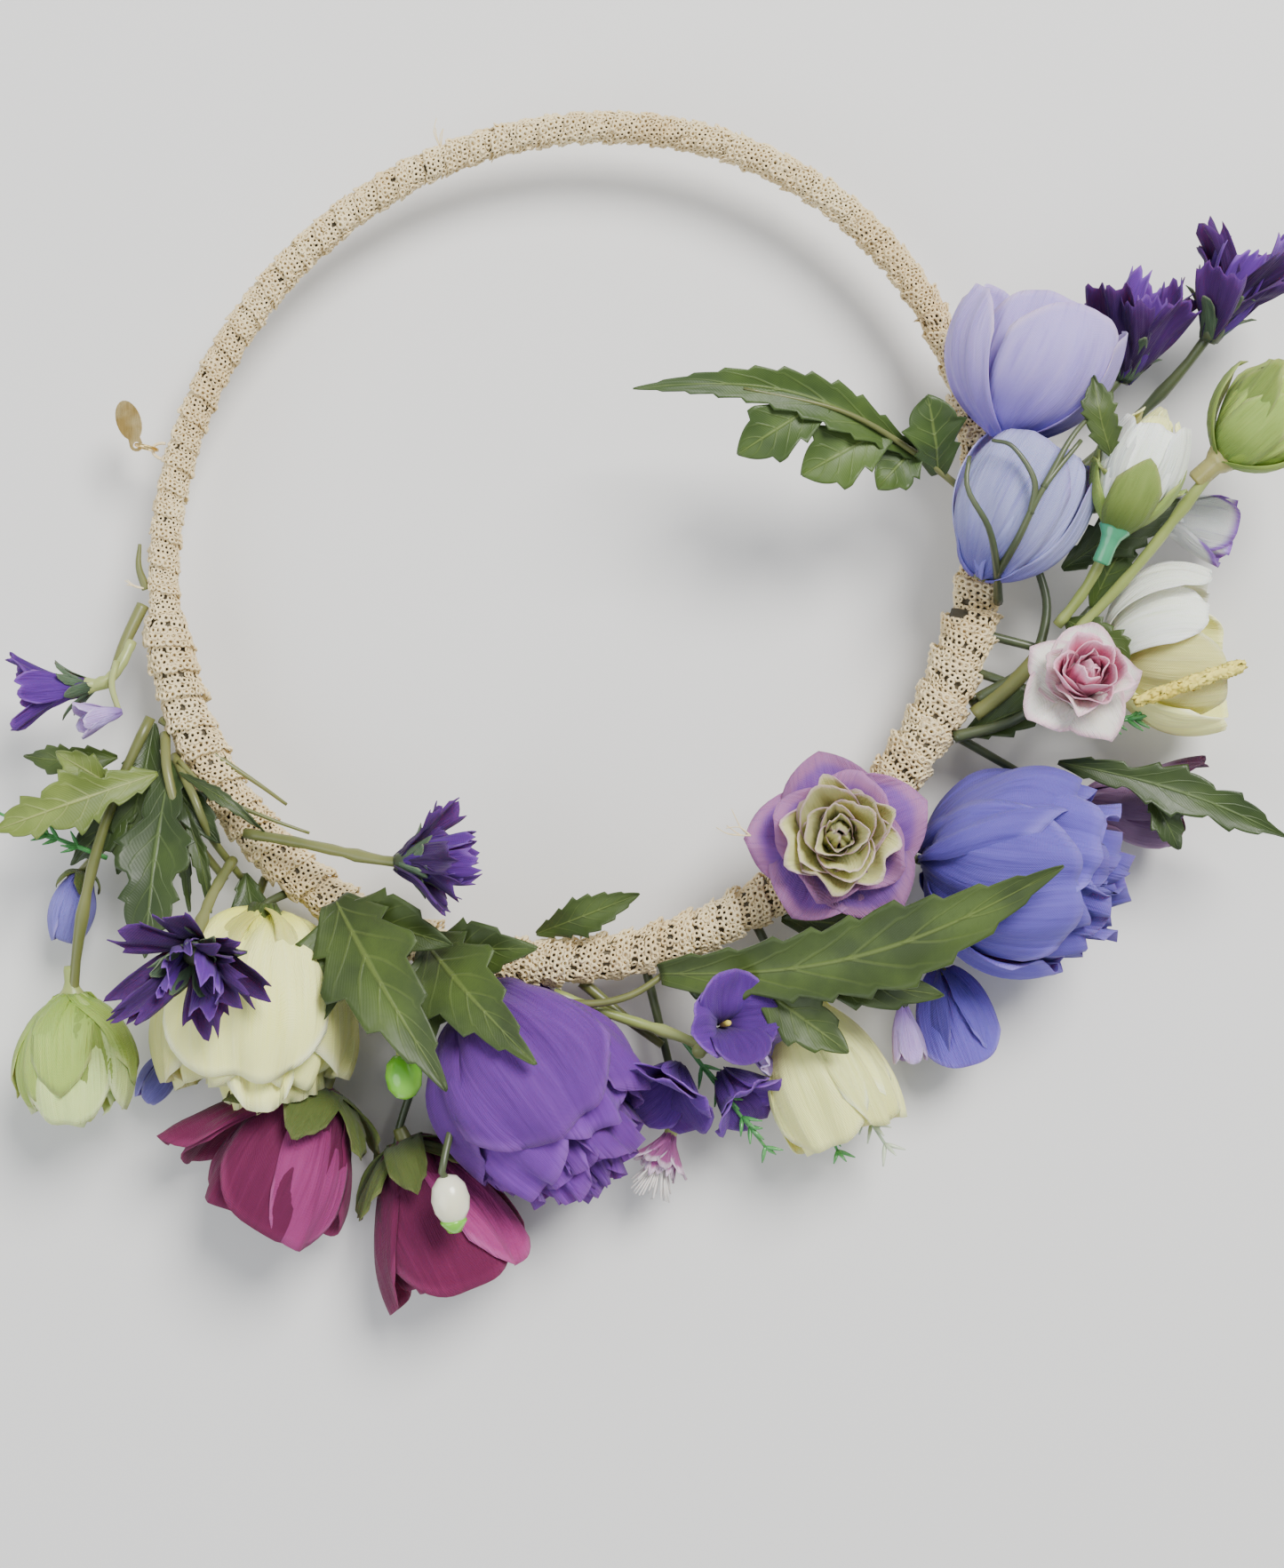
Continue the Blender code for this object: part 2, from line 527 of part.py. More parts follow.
def build_tag_plate():
    """An oval plate along X with its hole at the origin, and a small eye round the hole."""
    bm = bmesh.new()
    outline = tag_outline()
    turns = [math.tau * i / len(outline) for i in range(len(outline))]
    hole = [(TAG_HOLE * math.cos(turn), TAG_HOLE * math.sin(turn)) for turn in turns]
    low_outline = loop_at(bm, outline, -TAG_THICKNESS / 2)
    high_outline = loop_at(bm, outline, TAG_THICKNESS / 2)
    low_hole = loop_at(bm, hole, -TAG_THICKNESS / 2)
    high_hole = loop_at(bm, hole, TAG_THICKNESS / 2)
    bmesh.ops.bridge_loops(bm, edges=low_outline + high_outline)
    bmesh.ops.bridge_loops(bm, edges=low_hole + high_hole)
    bmesh.ops.triangle_fill(bm, use_beauty=True, edges=low_outline + low_hole)
    bmesh.ops.triangle_fill(bm, use_beauty=True, edges=high_outline + high_hole)
    return mesh_object("brass_tag", bm, material("brass_tag", BRASS_COLOUR, 0.28, 1.0), smooth=False)


def main():
    clear_scene()
    build_wire()
    build_lace()
    flowers = build_flowers()
    stems = build_stems()
    leaves = {name: build_leaf(name, row) for name, row in LEAVES.items()}
    build_spadix()
    build_tag()
    bends = {
        "stem_white_rosebud": (flowers["white_rosebud"],),
        "stem_green_bud_right": (flowers["green_bud_right"],),
        "stem_green_bud_left": (flowers["green_bud_left"], leaves["upper_left_leaf"]),
        "stem_floret_left": (flowers["floret_left"], flowers["lilac_small"]),
        "stem_cornflower_hanging": (flowers["cornflower_hanging"],),
        "stem_cornflower_inner": (flowers["cornflower_inner"],),
    }
    for stem, carried in bends.items():
        free = STEMS[stem][0]
        empty = hinge_empty(stem.replace("stem_", "bend_"), place(*free[0]))
        hang_on(empty, (stems[stem], *carried))
    fern_hinge = hinge_empty("bend_fern_leaf", place(*LEAVES["fern_leaf"][0]))
    hang_on(fern_hinge, (leaves["fern_leaf"],))


main()
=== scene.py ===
# %% [markdown]
# # Flower crown
# A wire hoop wound with crocheted lace carries cloth flowers, buds and leaves on plastic stems.
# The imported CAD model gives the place, the size and the joints of every piece. Each flower is then
# made again here out of single cloth petals, because what a flower looks like is its petals: their
# cup, their wavy rim, their pleats and the dye that runs from the base to the tip.
# The parts of this script: shading helpers, cloth and plastic materials, petal and leaf builders,
# the flowers, the stems, the leaves, the lace, the brass tag, and the studio.

# %% Load the frame
import json
import math
import random

import bmesh
import bpy
import numpy as np
from mathutils import Matrix, Vector, noise

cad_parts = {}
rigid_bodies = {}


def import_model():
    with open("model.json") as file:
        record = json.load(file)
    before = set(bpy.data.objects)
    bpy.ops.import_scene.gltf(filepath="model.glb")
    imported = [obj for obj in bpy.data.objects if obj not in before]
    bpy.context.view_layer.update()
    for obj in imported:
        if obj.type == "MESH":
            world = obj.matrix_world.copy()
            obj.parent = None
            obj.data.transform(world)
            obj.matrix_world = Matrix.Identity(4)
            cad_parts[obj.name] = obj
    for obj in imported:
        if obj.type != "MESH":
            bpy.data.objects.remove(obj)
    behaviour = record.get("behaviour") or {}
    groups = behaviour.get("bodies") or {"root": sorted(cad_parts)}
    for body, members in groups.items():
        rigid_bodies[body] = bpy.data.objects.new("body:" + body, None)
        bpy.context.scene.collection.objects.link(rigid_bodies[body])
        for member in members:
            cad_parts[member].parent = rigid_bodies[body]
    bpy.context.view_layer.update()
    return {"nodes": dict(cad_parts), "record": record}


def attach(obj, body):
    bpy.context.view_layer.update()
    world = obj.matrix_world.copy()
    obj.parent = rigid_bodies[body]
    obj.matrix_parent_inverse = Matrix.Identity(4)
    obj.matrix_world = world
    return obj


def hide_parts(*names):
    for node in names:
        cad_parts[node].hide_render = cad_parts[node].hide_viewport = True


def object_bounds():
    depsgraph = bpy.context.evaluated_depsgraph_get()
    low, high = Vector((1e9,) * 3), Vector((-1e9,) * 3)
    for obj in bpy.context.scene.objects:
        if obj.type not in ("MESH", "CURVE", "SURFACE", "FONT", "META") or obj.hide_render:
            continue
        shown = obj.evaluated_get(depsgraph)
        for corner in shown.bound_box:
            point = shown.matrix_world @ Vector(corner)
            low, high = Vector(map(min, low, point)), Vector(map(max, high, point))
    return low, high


for old in list(bpy.data.objects):
    bpy.data.objects.remove(old, do_unlink=True)
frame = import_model()
NODES = frame["nodes"]
BODIES = frame["record"]["behaviour"]["bodies"]
BODY_OF = {node: body for body, nodes in BODIES.items() for node in nodes}
MM = 0.001


# %% [markdown]
# ## Shading helpers
# A colour pattern is easier to read as arithmetic than as a list of nodes and links, so one small
# class lets the values of a node tree be added, multiplied and compared.

# %% Shading helpers
class Value:
    """A number in a node tree that arithmetic can be done with."""

    def __init__(self, look, socket):
        self.look = look
        self.socket = socket

    def math(self, operation, *others):
        node = self.look.tree.nodes.new("ShaderNodeMath")
        node.operation = operation
        for slot, value in zip(node.inputs, (self, *others)):
            self.look.feed(slot, value)
        return Value(self.look, node.outputs[0])

    def __add__(self, other):
        return self.math("ADD", other)

    def __sub__(self, other):
        return self.math("SUBTRACT", other)

    def __mul__(self, other):
        return self.math("MULTIPLY", other)

    def __truediv__(self, other):
        return self.math("DIVIDE", other)

    def __rsub__(self, other):
        return self.math("MULTIPLY", -1.0).math("ADD", other)

    __radd__ = __add__
    __rmul__ = __mul__

    def power(self, exponent):
        return self.math("POWER", exponent)

    def sin(self):
        return self.math("SINE")

    def size(self):
        return self.math("ABSOLUTE")

    def steps(self, low, high, start=0.0, end=1.0):
        """Eases from start to end as the value goes from low to high."""
        node = self.look.node(
            "ShaderNodeMapRange",
            {"interpolation_type": "SMOOTHSTEP"},
            {"Value": self, "From Min": low, "From Max": high, "To Min": start, "To Max": end},
        )
        return Value(self.look, node.outputs[0])


class Look:
    """A material under construction."""

    def __init__(self, name):
        self.material = bpy.data.materials.new(name)
        self.material.use_nodes = True
        self.tree = self.material.node_tree
        self.shader = self.tree.nodes["Principled BSDF"]

    def feed(self, slot, value):
        """Links a value or a socket to this input, or sets the constant on it."""
        if isinstance(value, Value):
            self.tree.links.new(value.socket, slot)
        elif isinstance(value, bpy.types.NodeSocket):
            self.tree.links.new(value, slot)
        else:
            slot.default_value = value

    def node(self, kind, settings=None, inputs=None):
        made = self.tree.nodes.new(kind)
        for key, value in (settings or {}).items():
            setattr(made, key, value)
        for key, value in (inputs or {}).items():
            self.feed(made.inputs[key], value)
        return made

    def mix(self, factor, first, second, blend="MIX"):
        """A colour between two others."""
        made = self.tree.nodes.new("ShaderNodeMix")
        made.data_type = "RGBA"
        made.blend_type = blend
        self.feed(made.inputs[0], factor)
        self.feed(made.inputs[6], first)
        self.feed(made.inputs[7], second)
        return made.outputs[2]

    def uv(self):
        """Across and along the petal or leaf, each from 0 to 1."""
        split = self.node("ShaderNodeSeparateXYZ", None, {"Vector": self.node("ShaderNodeUVMap").outputs[0]})
        return Value(self, split.outputs[0]), Value(self, split.outputs[1])

    def place(self):
        """Where the point is on the object."""
        return self.node("ShaderNodeTexCoord").outputs["Object"]

    def grain(self, scale, detail=2.0, vector=None):
        made = self.node(
            "ShaderNodeTexNoise", None, {"Vector": vector or self.place(), "Scale": scale, "Detail": detail}
        )
        return Value(self, made.outputs[0])

    def weave(self, pitch):
        """A plain weave: crossed threads this far apart, from 0 to 1."""
        split = self.node("ShaderNodeSeparateXYZ", None, {"Vector": self.place()})
        turns = math.tau / pitch
        warp = (Value(self, split.outputs[0]) + Value(self, split.outputs[2]) * 0.7) * turns
        weft = (Value(self, split.outputs[1]) + Value(self, split.outputs[2]) * 0.7) * turns
        return warp.sin() * weft.sin() * 0.5 + 0.5

    def attribute(self, name):
        made = self.node("ShaderNodeAttribute", {"attribute_name": name})
        return Value(self, made.outputs["Fac"])

    def bump(self, height, strength, distance):
        made = self.node(
            "ShaderNodeBump", None, {"Height": height, "Strength": strength, "Distance": distance}
        )
        self.feed(self.shader.inputs["Normal"], made.outputs[0])

    def set(self, **values):
        for key, value in values.items():
            self.feed(self.shader.inputs[key.replace("_", " ")], value)
        return self


def rgb(red, green, blue):
    """A colour as a shader takes it."""
    return (red, green, blue, 1.0)


# %% [markdown]
# ## Cloth for petals
# Cheap flower cloth is a thin polyester weave, starched, dyed darker towards the base and pressed
# between heated moulds, which leaves fine ribs that fan out along the petal. The rim stays a little
# frayed and pale. The dye varies from petal to petal. The creases of the cloth carry painted shade in
# their grooves and a painted highlight on their ridges.

# %% Petal cloth
# The streak value darkens the dyed ribs and also the painted shade in the creases.
def petal_cloth(name, base, tip, rim, ribs=26.0, base_end=0.55, rim_start=0.9, streak_and_crease_shade=0.0, gloss=0.62):
    look = Look(name)
    across, along = look.uv()
    side = (across - 0.5).size() * 2.0
    tone = look.attribute("tone")
    cloud = look.grain(90.0, 3.0)
    colour = look.mix(along.steps(0.05, base_end) * 0.9 + cloud * 0.2 - 0.1, base, tip)
    edge = (side.power(3.0) * 0.12 + along + cloud * 0.05).steps(rim_start, rim_start + 0.12)
    colour = look.mix(edge, colour, rim)
    drift = look.grain(30.0, 2.0)
    fan = (across - 0.5) * ribs * (1.25 - along * 0.3) + cloud * 1.2 + drift * 5.0
    rib = ((fan * math.tau).sin() * 0.5 + 0.5) * drift.steps(0.35, 0.7, 0.15, 1.0)
    stretched = look.node("ShaderNodeMapping", None, {"Vector": look.node("ShaderNodeUVMap").outputs[0],
                                                      "Scale": (ribs * 2.6, 2.2, 1.0)})
    crease = look.grain(1.0, 4.0, stretched.outputs[0])
    fade = along.steps(0.0, 0.25) * along.steps(0.75, 1.0, 1.0, 0.25)
    deep = look.mix(0.75, colour, base)
    colour = look.mix(rib * fade * (0.12 + streak_and_crease_shade), colour, deep)
    # Painted shade: the cloth is darkened in the grooves of the creases, where the bump sinks.
    colour = look.mix(crease.steps(0.50, 0.72) * (0.45 + streak_and_crease_shade), colour, deep)
    # Painted highlight: the ridges between the creases are paled towards the rim colour.
    colour = look.mix(crease.steps(0.48, 0.28) * 0.22, colour, rim)
    shade = tone * 0.5 + 0.72
    grey = look.node("ShaderNodeCombineColor", None, {0: shade, 1: shade, 2: shade}).outputs[0]
    colour = look.mix(1.0, colour, grey, "MULTIPLY")
    weave = look.weave(0.55 * MM)
    look.bump(rib * fade * 0.4 - crease * 3.0 + weave * 0.5 + cloud * 1.2, 0.8, 0.24 * MM)
    look.set(
        Base_Color=colour,
        Roughness=(weave * 0.12 + gloss - 0.06),
        Sheen_Weight=0.10,
        Sheen_Roughness=0.5,
        Subsurface_Weight=0.12,
        Subsurface_Scale=1.5 * MM,
        Specular_IOR_Level=0.2,
    )
    return look.material


PETAL_DYES = {
    "lavender": (rgb(0.20, 0.14, 0.58), rgb(0.47, 0.38, 0.76), rgb(0.60, 0.48, 0.74), 7.0, 0.8, 0.97, 0.05),
    "lavender_blue": (rgb(0.17, 0.15, 0.56), rgb(0.50, 0.52, 0.84), rgb(0.42, 0.38, 0.76), 8.0, 0.6, 0.97,
                      0.15),
    "white": (rgb(0.72, 0.80, 0.44), rgb(0.96, 0.96, 0.89), rgb(0.98, 0.98, 0.94), 9.0, 0.3, 0.97),
    "cream": (rgb(0.72, 0.72, 0.16), rgb(0.97, 0.95, 0.38), rgb(0.98, 0.97, 0.58), 9.0, 0.45, 0.97),
    "ivory": (rgb(0.84, 0.82, 0.14), rgb(0.98, 0.96, 0.38), rgb(0.98, 0.97, 0.60), 11.0, 0.4, 0.96),
    "white_violet": (rgb(0.94, 0.94, 0.93), rgb(0.97, 0.97, 0.98), rgb(0.34, 0.16, 0.66), 9.0, 0.4, 0.9),
    "dark_violet": (rgb(0.022, 0.006, 0.045), rgb(0.058, 0.014, 0.125), rgb(0.08, 0.022, 0.17), 9.0, 0.6,
                    0.9),
    "violet": (rgb(0.050, 0.010, 0.13), rgb(0.160, 0.040, 0.33), rgb(0.24, 0.08, 0.44), 14.0, 0.5, 0.95),
    "violet_bright": (rgb(0.045, 0.010, 0.14), rgb(0.105, 0.026, 0.27), rgb(0.20, 0.08, 0.42), 8.0, 0.5,
                      0.95),
    "blue": (rgb(0.045, 0.026, 0.22), rgb(0.125, 0.095, 0.46), rgb(0.20, 0.16, 0.56), 14.0, 0.55, 0.96),
    "blue_pale": (rgb(0.09, 0.06, 0.32), rgb(0.22, 0.20, 0.62), rgb(0.32, 0.28, 0.70), 9.0, 0.55, 0.96),
    "magenta": (rgb(0.08, 0.005, 0.036), rgb(0.165, 0.009, 0.068), rgb(0.26, 0.03, 0.12), 10.0, 0.6, 0.94),
    "magenta_pale": (rgb(0.15, 0.010, 0.07), rgb(0.31, 0.04, 0.17), rgb(0.40, 0.08, 0.24), 8.0, 0.6, 0.95),
    "mauve": (rgb(0.10, 0.03, 0.26), rgb(0.24, 0.10, 0.40), rgb(0.36, 0.16, 0.34), 10.0, 0.55, 0.82),
    "mauve_dark": (rgb(0.13, 0.06, 0.13), rgb(0.26, 0.15, 0.26), rgb(0.30, 0.17, 0.30), 8.0, 0.6, 0.95),
    "rose_heart": (rgb(0.30, 0.30, 0.07), rgb(0.66, 0.65, 0.28), rgb(0.50, 0.34, 0.38), 8.0, 0.4, 0.95),
    "pink_white": (rgb(0.80, 0.80, 0.54), rgb(0.95, 0.88, 0.84), rgb(0.88, 0.58, 0.66), 9.0, 0.5, 0.9),
    "pink": (rgb(0.74, 0.13, 0.30), rgb(0.87, 0.34, 0.50), rgb(0.91, 0.50, 0.62), 8.0, 0.5, 0.85),
    "pink_daisy": (rgb(0.36, 0.06, 0.26), rgb(0.48, 0.13, 0.36), rgb(0.78, 0.58, 0.72), 8.0, 0.5, 0.82),
    "plum": (rgb(0.34, 0.22, 0.36), rgb(0.20, 0.08, 0.20), rgb(0.06, 0.012, 0.05), 10.0, 0.55, 0.72),
    "lilac": (rgb(0.26, 0.14, 0.44), rgb(0.46, 0.32, 0.66), rgb(0.58, 0.46, 0.74), 8.0, 0.5, 0.94),
    "green_bud": (rgb(0.26, 0.40, 0.05), rgb(0.42, 0.56, 0.12), rgb(0.56, 0.66, 0.22), 9.0, 0.6, 0.95, 0.03,
                  0.42),
    "green_heart": (rgb(0.46, 0.62, 0.14), rgb(0.68, 0.82, 0.30), rgb(0.80, 0.88, 0.44), 9.0, 0.6, 0.95,
                    0.0, 0.42),
    "sepal": (rgb(0.17, 0.27, 0.045), rgb(0.30, 0.42, 0.09), rgb(0.38, 0.47, 0.14), 5.0, 0.6, 0.95, 0.05,
              0.55),
    "calyx": (rgb(0.060, 0.090, 0.018), rgb(0.110, 0.150, 0.034), rgb(0.16, 0.19, 0.06), 4.0, 0.6, 0.95,
              0.05, 0.6),
    "calyx_grey": (rgb(0.05, 0.085, 0.045), rgb(0.10, 0.16, 0.09), rgb(0.16, 0.22, 0.13), 5.0, 0.6, 0.95,
                   0.1, 0.6),
}
PETALS = {key: petal_cloth(f"cloth_{key}", *dyes) for key, dyes in PETAL_DYES.items()}
print(len(PETALS), "petal cloths")


# %% [markdown]
# ## Cloth for leaves
# The leaves are the same cloth with a printed vein pattern: a pale midrib, side veins that slant
# towards the tip, darker green between them and a satin finish from the starch.

# %% Leaf cloth
def leaf_cloth(name, dark, light, vein, side_veins=9.0, slant=0.5, gloss=0.5):
    look = Look(name)
    across, along = look.uv()
    side = (across - 0.5).size() * 2.0
    cloud = look.grain(55.0, 4.0)
    colour = look.mix(cloud.steps(0.35, 0.65), dark, light)
    colour = look.mix(side.steps(0.0, 1.0, 0.0, 0.35), colour, dark)
    wave = ((along - side * slant * 0.3) * side_veins * math.tau).sin()
    ridge = wave.steps(0.82, 1.0) * side.steps(0.0, 0.95, 1.0, 0.15)
    midrib = side.steps(0.015, 0.075, 1.0, 0.0)
    fine = look.grain(900.0, 2.0)
    colour = look.mix(ridge * 0.35, colour, vein)
    colour = look.mix(midrib * 0.7, colour, vein)
    colour = look.mix(fine.steps(0.5, 0.8) * 0.25, colour, dark)
    weave = look.weave(0.6 * MM)
    look.bump(ridge * 0.6 + midrib * 1.0 + weave * 0.15 + cloud * 0.6, 0.6, 0.35 * MM)
    look.set(
        Base_Color=colour,
        Roughness=fine * 0.2 + (gloss - 0.1),
        Sheen_Weight=0.12,
        Specular_IOR_Level=0.4,
        Coat_Weight=0.12,
        Coat_Roughness=0.35,
    )
    return look.material


LEAF_DYES = {
    "leaf": (rgb(0.028, 0.050, 0.006), rgb(0.068, 0.112, 0.014), rgb(0.13, 0.18, 0.035), 7.0, 0.8),
    "leaf_dark": (rgb(0.020, 0.040, 0.006), rgb(0.050, 0.085, 0.014), rgb(0.10, 0.15, 0.04), 8.0, 0.8, 0.42),
    "leaf_light": (rgb(0.10, 0.145, 0.020), rgb(0.22, 0.29, 0.055), rgb(0.34, 0.38, 0.12), 8.0),
    "fern": (rgb(0.030, 0.062, 0.007), rgb(0.078, 0.135, 0.016), rgb(0.14, 0.20, 0.04), 6.0, 0.8),
}
LEAF_LOOKS = {key: leaf_cloth(f"cloth_{key}", *dyes) for key, dyes in LEAF_DYES.items()}


# %% [markdown]
# ## Moulded plastic, brass and yarn

# %% Plastic, brass and yarn
def plastic(name, dark, light, gloss=0.38, coat=0.1):
    """Moulded plastic with slight mould marks and a faint change of tone along it."""
    look = Look(name)
    cloud = look.grain(45.0, 3.0)
    fine = look.grain(700.0, 2.0)
    look.bump(cloud * 0.5 + fine * 0.3, 0.35, 0.25 * MM)
    look.set(
        Base_Color=look.mix(cloud.steps(0.35, 0.65), dark, light),
        Roughness=fine * 0.2 + (gloss - 0.1),
        Coat_Weight=coat,
        Coat_Roughness=0.2,
        Subsurface_Weight=0.08,
        Subsurface_Scale=1.0 * MM,
    )
    return look.material


def brass_look():
    """Gilt brass, mottled and scratched; the dull wear on the rims is not made."""
    look = Look("worn_brass")
    cloud = look.grain(260.0, 4.0)
    scratch = look.node("ShaderNodeMapping", None, {"Vector": look.place(), "Scale": (4000.0, 260.0, 900.0)})
    fine = look.grain(1.0, 3.0, scratch.outputs[0])
    look.bump(cloud * 0.6 + fine * 0.4, 0.3, 0.06 * MM)
    look.set(
        Base_Color=look.mix(cloud.steps(0.4, 0.7), rgb(0.62, 0.42, 0.13), rgb(0.86, 0.66, 0.30)),
        Metallic=1.0,
        Roughness=fine * 0.25 + 0.16,
    )
    return look.material


def yarn_look():
    """Unbleached cotton: two plied threads with fuzz, cream, with fine darker brown flecks painted as shade
    for the hollows.
    """
    look = Look("cotton_yarn")
    cloud = look.grain(70.0, 3.0)
    fine = look.grain(1800.0, 3.0)
    across, along = look.uv()
    ply = ((along * 3.0 + across * 2.0) * math.tau).sin() * 0.5 + 0.5
    colour = look.mix(cloud.steps(0.3, 0.7), rgb(0.80, 0.63, 0.34), rgb(0.94, 0.80, 0.49))
    # Painted shade: fine darker brown flecks stand for the shade in the hollows of the yarn.
    colour = look.mix(fine.steps(0.45, 0.75) * 0.35, colour, rgb(0.52, 0.36, 0.17))
    look.bump(ply * 0.6 + fine * 0.8, 0.6, 0.12 * MM)
    look.set(Base_Color=colour, Roughness=0.88, Sheen_Weight=0.15, Sheen_Roughness=0.6,
             Specular_IOR_Level=0.2)
    return look.material


STEM_LOOK = plastic("stem_olive", rgb(0.115, 0.130, 0.035), rgb(0.190, 0.200, 0.065))
STEM_LIGHT = plastic("stem_light", rgb(0.26, 0.32, 0.08), rgb(0.38, 0.43, 0.15))
STEM_DARK = plastic("stem_dark", rgb(0.045, 0.062, 0.028), rgb(0.085, 0.105, 0.045))
SOCKET_TAN = plastic("socket_tan", rgb(0.34, 0.31, 0.09), rgb(0.50, 0.46, 0.17), 0.25, 0.3)
SOCKET_MINT = plastic("socket_mint", rgb(0.05, 0.32, 0.15), rgb(0.12, 0.48, 0.26), 0.18, 0.5)
BERRY_LOOK = plastic("berry_green", rgb(0.16, 0.52, 0.03), rgb(0.30, 0.72, 0.07), 0.22, 0.5)
SNOWDROP_LOOK = plastic("snowdrop_white", rgb(0.84, 0.82, 0.58), rgb(0.94, 0.93, 0.76), 0.24, 0.5)
# Florist's tape under the lace; its dark grey-brown is also painted shade for the holes in the lace.
TAPE_AND_HOLE_SHADE_LOOK = plastic("florist_tape_and_hole_shade", rgb(0.060, 0.048, 0.026), rgb(0.11, 0.09, 0.05), 0.7, 0.0)
YELLOW_LOOK = plastic("pollen_yellow", rgb(0.66, 0.52, 0.05), rgb(0.90, 0.78, 0.18), 0.75, 0.0)
FUZZ_LOOK = plastic("white_stamen", rgb(0.74, 0.70, 0.66), rgb(0.88, 0.85, 0.82), 0.6, 0.0)
BRASS_LOOK = brass_look()
YARN_LOOK = yarn_look()


# %% [markdown]
# ## Building petals
# A petal is a flat grid with its own across and along coordinates. Its middle line leaves the
# flower's axis at one angle and ends at another, its width follows a rounded outline, and the whole
# blade is bent round the axis into a cup. Ruffles, pleats and a little noise make it cloth.

# %% Petal builder
def tip_drop(tip, u, phase):
    """How far the rim falls short of full length at this place across the petal."""
    a = abs(u)
    if tip == "point":
        return 0.30 * a**1.5
    if tip == "ogee":
        return 0.16 * a**0.9 + 0.16 * a**3.5
    if tip == "heart":
        return 0.24 * a**3.0 + 0.07 * math.exp(-((u / 0.22) ** 2))
    if tip == "torn":
        teeth = abs(((u * 1.8 + phase) % 1.0) * 2 - 1)
        return 0.05 * a**2 + 0.12 * teeth
    if tip == "ragged":
        teeth = abs(((u * 1.3 + phase) % 1.0) * 2 - 1)
        return 0.14 * a**2 + 0.22 * teeth
    if tip == "toothed":
        teeth = abs(((u * 1.5 + 0.5) % 1.0) * 2 - 1)
        return 0.16 * a**2 + 0.16 * teeth
    return 0.24 * a**3.2


def petal_width(v, base, belly):
    """Share of the full width at this height: narrow at the base, widest at the belly."""
    if v < belly:
        return base + (1 - base) * math.sin(math.pi / 2 * v / belly) ** 0.85
    fall = (v - belly) / (1 - belly)
    return 1 - 0.16 * fall**2


def add_petal(bm, rng, turn, length, width, lean=(20, 30), bend=1.0, start=(0.0, 0.0), cup=1.0, tip="round",
              base=0.22, belly=0.62, ruffle=0.0, waves=3.0, pleat=0.0, pleats=5, curl=0.0, rough=0.03,
              grid=(10, 12),
              fold=0.0, sway=0.0, crumple=0.55):
    """Adds one petal at this turn round Z. Lengths are in millimetres and leans in degrees from the axis."""
    bm.loops.layers.uv.verify()
    tone = bm.verts.layers.float.get("tone") or bm.verts.layers.float.new("tone")
    nx, ny = grid
    before = set(bm.verts)
    bmesh.ops.create_grid(bm, x_segments=nx, y_segments=ny, size=0.5, calc_uvs=True)
    made = [vert for vert in bm.verts if vert not in before]
    steps = 24
    line = [(start[0], start[1], math.radians(lean[0]))]
    for i in range(1, steps + 1):
        angle = math.radians(lean[0] + (lean[1] - lean[0]) * (i / steps) ** bend)
        r, z, _ = line[-1]
        line.append((r + length / steps * math.sin(angle), z + length / steps * math.cos(angle), angle))
    phase = rng.random() * math.tau
    shift = rng.random() * 50
    shade = rng.random()
    lift = rng.uniform(-1, 1) * sway
    for vert in made:
        u = vert.co.x * 2
        v0 = vert.co.y + 0.5
        v = v0 * (1 - tip_drop(tip, u, phase) * v0**0.6)
        at = min(steps - 1e-6, max(0.0, v * steps))
        low = int(at)
        share = at - low
        r = line[low][0] * (1 - share) + line[low + 1][0] * share
        z = line[low][1] * (1 - share) + line[low + 1][1] * share
        angle = line[low][2] * (1 - share) + line[low + 1][2] * share
        half = width / 2 * petal_width(v, base, belly)
        across = u * half
        bow = max(r, 0.32 * width)
        if abs(cup) > 1e-3:
            bow = bow / cup
            aside = bow * math.sin(across / bow)
            inward = bow * (1 - math.cos(across / bow))
        else:
            aside, inward = across, 0.0
        edge = max(v**2.2, abs(u) ** 4 * v)
        puff = curl * width * (abs(u) ** 3 * 0.5 + v**4)
        puff += ruffle * edge * math.sin(waves * math.pi * u + phase + 2.2 * v)
        puff += pleat * math.cos(pleats * math.pi * u) * math.sin(math.pi * min(1.0, v * 1.1)) * 0.6
        puff += fold * width * (1 - abs(u)) ** 2 * v
        puff += rough * width * noise.noise(Vector((u * 1.7 + shift, v * 2.1, shift)))
        puff += crumple * noise.noise(Vector((u * 5.0 + shift, v * 2.6 - shift, shift))) * min(1.0, 2.2 * v)
        aside += lift * v * v + rough * width * noise.noise(Vector((u * 1.3, v * 1.9 + shift, shift + 9)))
        out = Vector((math.cos(turn), math.sin(turn), 0))
        round_way = Vector((-math.sin(turn), math.cos(turn), 0))
        normal = out * math.cos(angle) - Vector((0, 0, 1)) * math.sin(angle)
        vert.co = (out * (r - inward) + Vector((0, 0, z)) + round_way * aside + normal * puff) * MM
        vert[tone] = shade
    return made


def place_in(verts, matrix):
    for vert in verts:
        vert.co = matrix @ vert.co


def finish_piece(name, bm, look, body, replaces=(), thickness=0.22, solid=False):
    """Turns the bmesh into a piece that rides on a body and stands for its CAD nodes."""
    bmesh.ops.recalc_face_normals(bm, faces=bm.faces)
    mesh = bpy.data.meshes.new(name)
    bm.to_mesh(mesh)
    bm.free()
    mesh.materials.append(look)
    for polygon in mesh.polygons:
        polygon.use_smooth = True
    piece = bpy.data.objects.new(name, mesh)
    bpy.context.scene.collection.objects.link(piece)
    if not solid:
        skin = piece.modifiers.new("thickness", "SOLIDIFY")
        skin.thickness = thickness * MM
        skin.offset = 0.0
    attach(piece, body)
    if replaces:
        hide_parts(*replaces)
    return piece


# %% [markdown]
# ## Where each flower sits
# Every flower head in the CAD model is a solid round its own axis. Its vertices, measured along
# that axis, give the middle of its base, its length and how far it reaches to each side.

